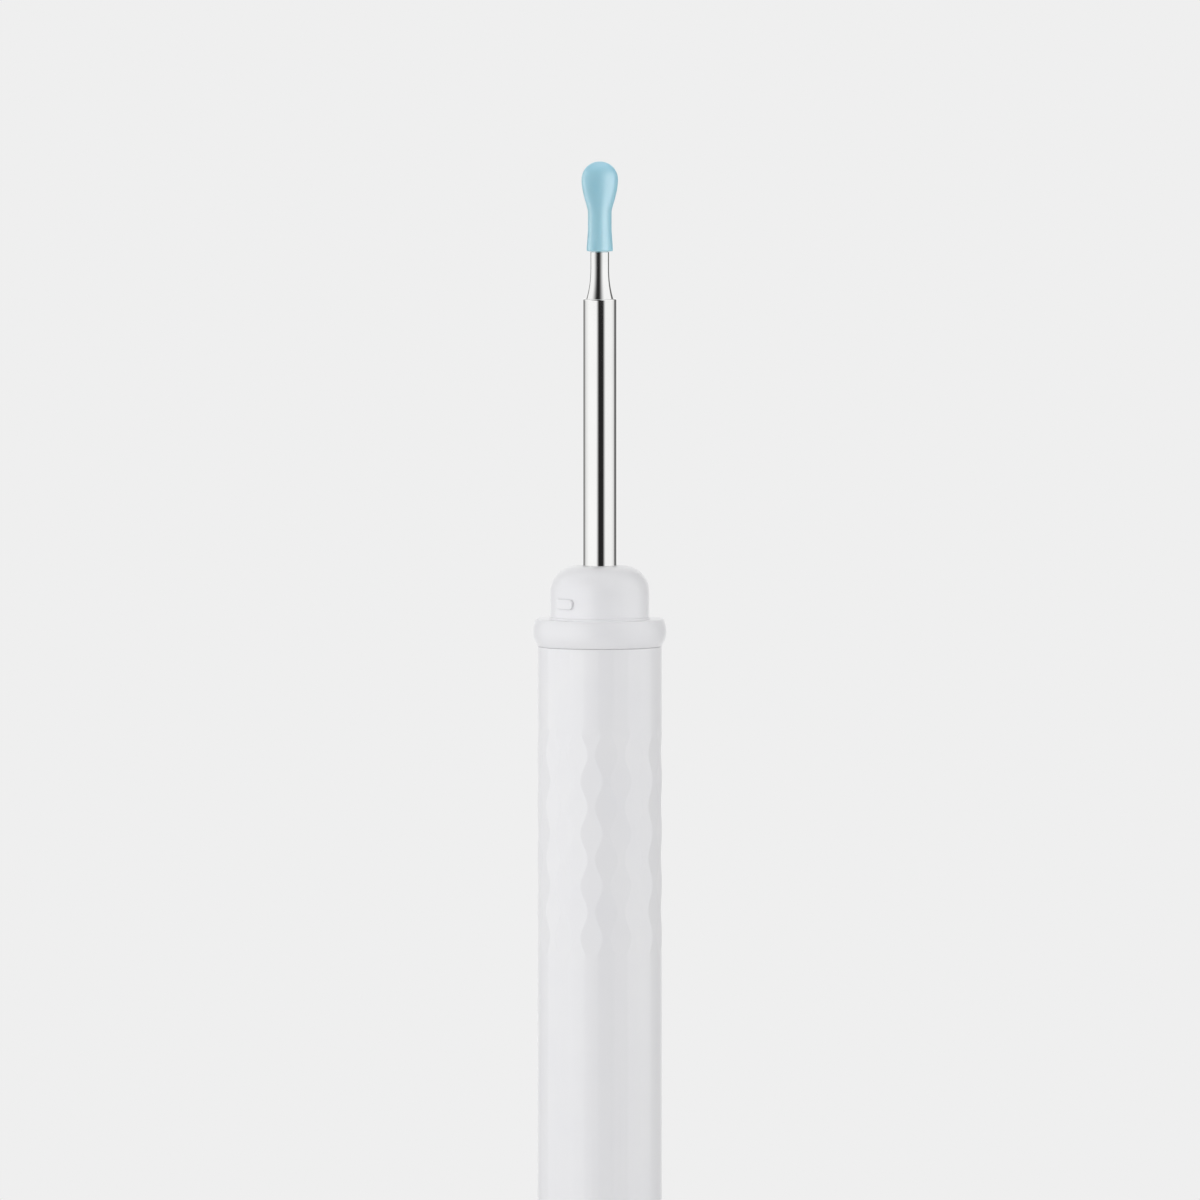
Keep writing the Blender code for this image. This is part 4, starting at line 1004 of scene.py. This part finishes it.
@dataclass
class ScoopTip:
    """The soft tip: a sleeve over the neck that swells into a scoop."""

    base: float = 131.03 * MM
    length: float = 9.25 * MM
    foot_radius: float = 1.375 * MM
    foot_edge: float = 0.06 * MM
    foot_top: float = -0.4 * MM
    waist_radius: float = 1.22 * MM
    waist_bottom: float = 2.6 * MM
    waist_top: float = 4.1 * MM
    bulb_half: float = 1.88 * MM
    bulb_depth: float = 1.25 * MM
    bulb_height: float = 7.42 * MM
    swell_power: float = 1.2
    rim_depth: float = 0.5 * MM
    rim_arc: float = 6.0 * MM
    rim_height: float = 6.8 * MM
    rim_width: float = 5 * MM
    rim_sides: int = 256
    bowl_centre: Place = (0.0, 0.95 * MM, 6.55 * MM)
    bowl_size: Place = (1.5 * MM, 1.65 * MM, 2.35 * MM)
    bowl_sides: int = 96
    bowl_rings: int = 64
    spigot: float = 0.9 * MM
    spigot_top: float = 134.95 * MM
    window: float = 0.65 * MM
    voxel: float = 0.05 * MM
    smooth_steps: int = 14
    sides: int = 96
    rings: int = 72
    cap_angles: range = range(0, 88, 4)

    def half_width(self, height: float) -> float:
        """Give the half width at a height, seen from the front.

        Args:
            height: the height above the base.

        Returns:
            The half width.
        """
        if height > self.bulb_height:
            rise = (height - self.bulb_height) / (self.length - self.bulb_height)
            return self.bulb_half * math.sqrt(max(1 - rise * rise, 0))
        if height > self.waist_top:
            drop = (self.bulb_height - height) / (self.bulb_height - self.waist_top)
            swell = math.cos(drop * math.pi / 2) ** self.swell_power
            return self.waist_radius + (self.bulb_half - self.waist_radius) * swell
        share = min(max((height - self.foot_top) / (self.waist_bottom - self.foot_top), 0), 1)
        return self.waist_radius + (self.foot_radius - self.waist_radius) * (1 - ease(share))

    def half_depth(self, height: float) -> float:
        """Give the half depth at a height, seen from the side.

        Args:
            height: the height above the base.

        Returns:
            The half depth.
        """
        if height < self.waist_top:
            return self.half_width(height)
        share = min((height - self.waist_top) / (self.bulb_height - self.waist_top), 1)
        depth = self.waist_radius + (self.bulb_depth - self.waist_radius) * ease(share)
        return depth if height < self.bulb_height else depth * self.half_width(height) / self.bulb_half

    def heights(self) -> list[float]:
        """Place the rings, closer together towards the round end.

        Returns:
            Their heights above the base.
        """
        span = self.bulb_height - self.foot_edge
        sides = [self.foot_edge + span * i / self.rings for i in range(self.rings)]
        cap = self.length - self.bulb_height
        return [0.0] + sides + [self.bulb_height + cap * math.sin(math.radians(a)) for a in self.cap_angles]

    def make_outside(self) -> Piece:
        """Pull the closed outer form up from a disc, ring by ring.

        Returns:
            The outer form.
        """
        start = self.half_width(0) - self.foot_edge
        disc = {"vertices": self.sides, "radius": start, "fill_type": "NGON", "location": (0, 0, self.base)}
        tip = primitive(bpy.ops.mesh.primitive_circle_add, "soft_scoop_tip", **disc)
        before = (start, start)
        stations = self.heights()
        with editing(tip, "FACE", lambda points: True):
            for low, high in zip(stations, stations[1:]):
                now = (self.half_width(high), self.half_depth(high))
                scale = (now[0] / before[0], now[1] / before[1], 1)
                extrude(high - low)
                bpy.ops.transform.resize(value=scale, center_override=(0, 0, self.base + high))
                before = now
            bpy.ops.mesh.poke()
        return seal(tip)

    def build(self) -> None:
        """Make the tip: outer form, bore, camera window, rim and bowl, with soft edges."""
        tip = self.make_outside()
        for name, radius, low, high in (
            ("tip_bore", self.spigot, self.base - MM, self.spigot_top),
            ("tip_window", self.window, self.spigot_top - SLIP, self.base + self.bowl_centre[2]),
        ):
            combine(tip, rod(name, radius, high - low, (0, 0, (low + high) / 2)))
        place = (0, self.rim_depth + self.rim_arc, self.base + self.rim_height)
        rim = rod("tip_rim", self.rim_arc, self.rim_width, place, (0, math.pi / 2, 0), self.rim_sides)
        combine(tip, rim)
        place = Vector(self.bowl_centre) + Vector((0, 0, self.base))
        ball = {"segments": self.bowl_sides, "ring_count": self.bowl_rings, "radius": 1}
        ball |= {"scale": self.bowl_size, "location": place}
        combine(tip, primitive(bpy.ops.mesh.primitive_uv_sphere_add, "tip_bowl", **ball))
        apply_modifier(tip, "REMESH", mode="VOXEL", voxel_size=self.voxel)
        apply_modifier(tip, "SMOOTH", factor=0.5, iterations=self.smooth_steps)
        dress(tip, BLUE_SILICONE, "ear_scoop_tip", body=Body.TIP, smooth=70)


# Inner pieces, which keep their solids

INNER_FINISHES = {
    BLACK_RUBBER: ("tail_seal", "collar_seal", "button_gasket", "battery_lead_black"),
    TURNED_BRASS: ("tube_ferrule", "switch_plunger"),
    GREEN_BOARD: ("led_ring_board", "sensor_board", "main_board", "battery_protection_board"),
    WHITE_CERAMIC: ("lighting_led_1", "lighting_led_2", "lighting_led_3", "lighting_led_4", "chip_antenna"),
    MILKY_ACRYLIC: ("status_led",),
    CHIP_EPOXY: ("camera_sensor", "charger_chip", "motion_sensor_chip", "processor_chip"),
    AMBER_FLEX: ("camera_flex",),
    BLACK_NYLON: ("inner_chassis", "flex_connector", "power_switch"),
    TINNED_STEEL: ("chassis_screw_1", "chassis_screw_2", "wireless_shield"),
    CELL_WRAP: ("battery_cell",),
    RED_WIRE: ("battery_lead_red",),
    GREY_FOAM: ("battery_foam_pad",),
}


def finish_inner_pieces() -> None:
    """Give each solid that stays its finish."""
    for finish, names in INNER_FINISHES.items():
        for name in names:
            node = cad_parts[name]
            node.data.materials.clear()
            node.data.materials.append(finish.material())
            log.info("%s: %s", name, finish.name)


# Studio and camera


@dataclass(frozen=True)
class Flag:
    """A dark screen of the studio, given by the directions that it covers.

    Directions run round the object in degrees, 0 at the front and positive
    towards +X.
    """

    middle: float
    half: float
    soft: float
    level: float


@dataclass(frozen=True)
class Softbox:
    """A soft lamp that stands in a direction from the object and faces it."""

    name: str
    turn: float
    half: float
    tall: float
    level: float
    tilt: float = 0.0
    gloss_only: bool = False
    colour: str = "#FFFFFF"
    distance: float = 0.9
    height: float = 0.12


@dataclass
class Studio:
    """Backdrop, floor, flags, lamps and camera."""

    background: str = "#EFEFEF"
    left_level: float = 1.1
    right_level: float = 1.05
    side_blend: float = 60.0
    top_level: float = 0.75
    top_rise: Point = (0.6, 0.95)
    front_flag: Flag = Flag(7.5, 23.0, 22.0, 0.02)
    front_share: Point = (0.15, 0.45)
    side_flags: tuple[Flag, ...] = (
        Flag(-136.0, 18.0, 16.0, 0.28),
        Flag(-110.0, 17.0, 34.0, 0.82),
        Flag(103.0, 10.0, 20.0, 0.86),
        Flag(133.0, 20.0, 18.0, 0.15),
    )
    satin: tuple[str, ...] = ("grip_sleeve", "tail_end_cap", "button_cap", "light_pipe")
    dome: tuple[str, ...] = ("lugged_dome",)
    collar: tuple[str, ...] = ("barrel_collar",)
    head_share: float = 0.98
    soft: tuple[str, ...] = ("soft_scoop_tip",)
    satin_lamps: tuple[Softbox, ...] = (
        Softbox("left_softbox", -41.5, 24.0, 1.7, 0.965),
        Softbox("front_fill", -3.0, 21.0, 1.7, 0.09, colour="#E2DEFF"),
        Softbox("right_softbox", 79.0, 23.0, 1.7, 0.775),
        Softbox("high_softbox", 0.0, 20.0, 0.65, 0.36, tilt=90.0),
        Softbox("low_softbox", 0.0, 25.0, 0.84, 0.45, tilt=-89.0),
    )
    tip_lamps: tuple[Softbox, ...] = (
        Softbox("tip_right_lamp", 52.0, 29.0, 1.0, 7.2, gloss_only=True),
        Softbox("tip_rim_lamp", -100.0, 22.0, 1.0, 4.0, gloss_only=True),
        Softbox("tip_front_lamp", 24.0, 25.0, 0.9, 0.98, colour="#FFF8F8"),
        Softbox("tip_top_lamp", 0.0, 25.0, 0.84, 1.3, tilt=80.0, colour="#FFF4FC"),
        Softbox("tip_low_lamp", 10.0, 35.0, 1.26, 0.4, tilt=-85.0),
    )
    card_radius: float = 60.0 * MM
    card_bottom: float = 125.2 * MM
    card_top: float = 400.0 * MM
    card_start: float = -128.0
    card_end: float = 118.0
    card_flag: Flag = Flag(-16.5, 36.0, 56.0, 0.02)
    card_level: float = 1.08
    card_sides: int = 180
    floor_radius: float = 0.3
    floor_sides: int = 128
    floor_colour: str = "#E8E8E8"
    floor_fade: Point = (0.06, 0.285)
    floor_plain: float = 0.45
    camera_distance: float = 2.0
    camera_elevation: float = 3.0
    image_size: float = 1200.0
    pixels_per_mm: float = 9.7
    axis_pixel: float = 599.8
    seam_pixel: float = 649.04
    seam_height: float = 90.0 * MM
    sensor: float = 36.0

    def shade(self, tree: Tree, turn: Socket, flag: Flag) -> Socket:
        """Give what a flag leaves of the light in a direction in degrees: its level inside, 1 outside."""
        away = calculate(tree, "ABSOLUTE", calculate(tree, "SUBTRACT", turn, flag.middle))
        return fade(tree, away, flag.half - flag.soft / 2, flag.half + flag.soft / 2, flag.level)

    def light_level(self, tree: Tree) -> Socket:
        """Give the brightness that the object sees in each direction.

        Args:
            tree: the world's node tree.

        Returns:
            The output with the level.
        """
        right, front, up, turn = bearings(tree, add_node(tree, "TexCoord")["Generated"])
        level = fade(tree, turn, -self.side_blend, self.side_blend, self.left_level, self.right_level)
        for flag in self.side_flags:
            level = calculate(tree, "MULTIPLY", level, self.shade(tree, turn, flag))
        steep = fade(tree, calculate(tree, "ABSOLUTE", up), *self.top_rise)
        # A Mix node's numbers are its inputs 2 and 3 and its output 0
        capped = add_node(tree, "Mix", {"data_type": "FLOAT", 3: self.top_level}, {0: steep, 2: level})[0]
        aside = calculate(tree, "DEGREES", calculate(tree, "ARCSINE", right))
        open_back = fade(tree, front, *self.front_share, 1.0, 0.0)
        shade = calculate(tree, "MAXIMUM", self.shade(tree, aside, self.front_flag), open_back)
        return calculate(tree, "MULTIPLY", capped, shade)

    def make_world(self) -> None:
        """Make the world: plain backdrop for the camera, screens and panels for the object."""
        world = bpy.data.worlds.new("pale_studio")
        bpy.context.scene.world = world
        tree = bare(world)
        seen = add_node(tree, "Background", {"Color": linear(self.background), "Strength": 1.0})
        light = add_node(tree, "Background", {"Color": (1, 1, 1, 1)}, {"Strength": self.light_level(tree)})
        path = add_node(tree, "LightPath")
        straight = calculate(tree, "MAXIMUM", path["Is Camera Ray"], path["Is Transmission Ray"])
        mixed = add_node(tree, "MixShader", links={0: straight, 1: light[0], 2: seen[0]})
        add_node(tree, "OutputWorld", links={"Surface": mixed[0]})

    def make_lamps(
        self, boxes: tuple[Softbox, ...], lit: tuple[str, ...], blockers: tuple[str, ...], share: float = 1.0
    ) -> None:
        """Make softboxes that light only the pieces of those names.

        Args:
            boxes: the softboxes.
            lit: the pieces that they light.
            blockers: the pieces that throw shadows in their light.
            share: how much of their level these pieces get.
        """
        receivers, screens = (bpy.data.collections.new(f"group_{names[0]}") for names in (lit, blockers))
        for group, names in ((receivers, lit), (screens, blockers)):
            for name in names:
                group.objects.link(bpy.data.objects[name])
        for box in boxes:
            name = f"{box.name}_{lit[0]}"
            data = bpy.data.lights.new(name, "AREA")
            data.shape = "RECTANGLE"
            data.size = 2 * box.distance * math.tan(math.radians(box.half))
            data.size_y = box.tall
            data.energy = share * box.level * math.pi * data.size * data.size_y
            data.color = linear(box.colour)[:3]
            data.cycles.use_multiple_importance_sampling = False
            lamp = bpy.data.objects.new(name, data)
            bpy.context.scene.collection.objects.link(lamp)
            turn, tilt = math.radians(box.turn), math.radians(box.tilt)
            level = math.cos(tilt)
            away = Vector((math.sin(turn) * level, -math.cos(turn) * level, math.sin(tilt)))
            lamp.location = away * box.distance + Vector((0, 0, box.height))
            lamp.rotation_euler = away.to_track_quat("Z", "Y").to_euler()
            lamp.light_linking.receiver_collection = receivers
            lamp.light_linking.blocker_collection = screens
            lamp.visible_diffuse = not box.gloss_only

    def make_card(self) -> None:
        """Make the small curved card by the neck, which only mirrors show.

        It is black in one stripe and white beside it, so that the polished
        neck has its dark line a little to the left of the tube's.
        """
        middle = (0, 0, (self.card_top + self.card_bottom) / 2)
        length = self.card_top - self.card_bottom
        card = rod("neck_card", self.card_radius, length, middle, sides=self.card_sides)

        def aside(points: list[Vector]) -> bool:
            """Tell whether a face lies outside the card's span."""
            turns = [math.degrees(math.atan2(point.x, -point.y)) for point in points]
            return min(turns) < self.card_start or max(turns) > self.card_end

        with editing(card, "FACE", aside):
            bpy.ops.mesh.delete(type="FACE")
        paint = bpy.data.materials.new("striped_card")
        tree = bare(paint)
        *_, turn = bearings(tree, add_node(tree, "TexCoord")["Object"])
        level = calculate(tree, "MULTIPLY", self.shade(tree, turn, self.card_flag), self.card_level)
        glow = add_node(tree, "Emission", {"Color": (1, 1, 1, 1)}, {"Strength": level})
        add_node(tree, "OutputMaterial", links={"Surface": glow[0]})
        card.data.materials.append(paint)
        card.visible_camera = False
        card.visible_diffuse = False
        card.visible_transmission = False
        card.visible_shadow = False

    def make_floor(self) -> None:
        """Make the pale floor, which keeps the shadow and fades into the backdrop."""
        disc = {"vertices": self.floor_sides, "radius": self.floor_radius, "fill_type": "NGON"}
        place = (0, 0, -SEAT / 2)
        floor = primitive(bpy.ops.mesh.primitive_circle_add, "studio_floor", location=place, **disc)
        paper = bpy.data.materials.new("matt_paper_floor")
        tree = bare(paper)
        place = add_node(tree, "TexCoord")["Object"]
        away = add_node(tree, "VectorMath", {"operation": "LENGTH"}, {0: place})["Value"]
        seen = add_node(tree, "LightPath")["Is Camera Ray"]
        share = calculate(tree, "MULTIPLY", fade(tree, away, *self.floor_fade, self.floor_plain), seen)
        matt = add_node(tree, "BsdfDiffuse", {"Color": linear(self.floor_colour)})
        plain = add_node(tree, "Emission", {"Color": linear(self.background), "Strength": 1.0})
        mixed = add_node(tree, "MixShader", links={0: share, 1: matt[0], 2: plain[0]})
        add_node(tree, "OutputMaterial", links={"Surface": mixed[0]})
        floor.data.materials.append(paper)

    def make_camera(self) -> None:
        """Make the camera at the photograph's angle and scale."""
        data = bpy.data.cameras.new("studio_camera")
        data.sensor_width = self.sensor
        data.lens = self.sensor * self.camera_distance / (self.image_size / self.pixels_per_mm * MM)
        camera = bpy.data.objects.new("studio_camera", data)
        bpy.context.scene.collection.objects.link(camera)
        middle = self.image_size / 2
        across = (middle - self.axis_pixel) / self.pixels_per_mm * MM
        height = self.seam_height + (self.seam_pixel - middle) / self.pixels_per_mm * MM
        rise = math.radians(self.camera_elevation)
        back = Vector((0, -math.cos(rise), math.sin(rise)))
        camera.location = Vector((across, 0, height)) + back * self.camera_distance
        camera.rotation_euler = back.to_track_quat("Z", "Y").to_euler()
        data.clip_start = self.camera_distance / 10
        data.clip_end = self.camera_distance * 10
        bpy.context.scene.camera = camera

    def build(self) -> None:
        """Make the whole studio."""
        self.make_world()
        self.make_lamps(self.satin_lamps, self.satin, self.satin + self.dome + self.collar)
        self.make_lamps(self.satin_lamps, self.dome, self.satin + self.dome, self.head_share)
        self.make_lamps(self.satin_lamps, self.collar, self.satin, self.head_share)
        self.make_lamps(self.tip_lamps, self.soft, self.soft)
        self.make_card()
        self.make_floor()
        self.make_camera()
        bpy.context.scene.view_settings.view_transform = "Standard"


def main() -> None:
    """Build the ear cleaner from its tail to its tip, then the studio."""
    logging.basicConfig(level=logging.INFO, format="%(name)s: %(message)s")
    for part in (Handle(), Controls(), Head(), Optics(), ScoopTip()):
        part.build()
        log.info("%s done", type(part).__name__)
    finish_inner_pieces()
    Studio().build()


if __name__ == "__main__":
    main()
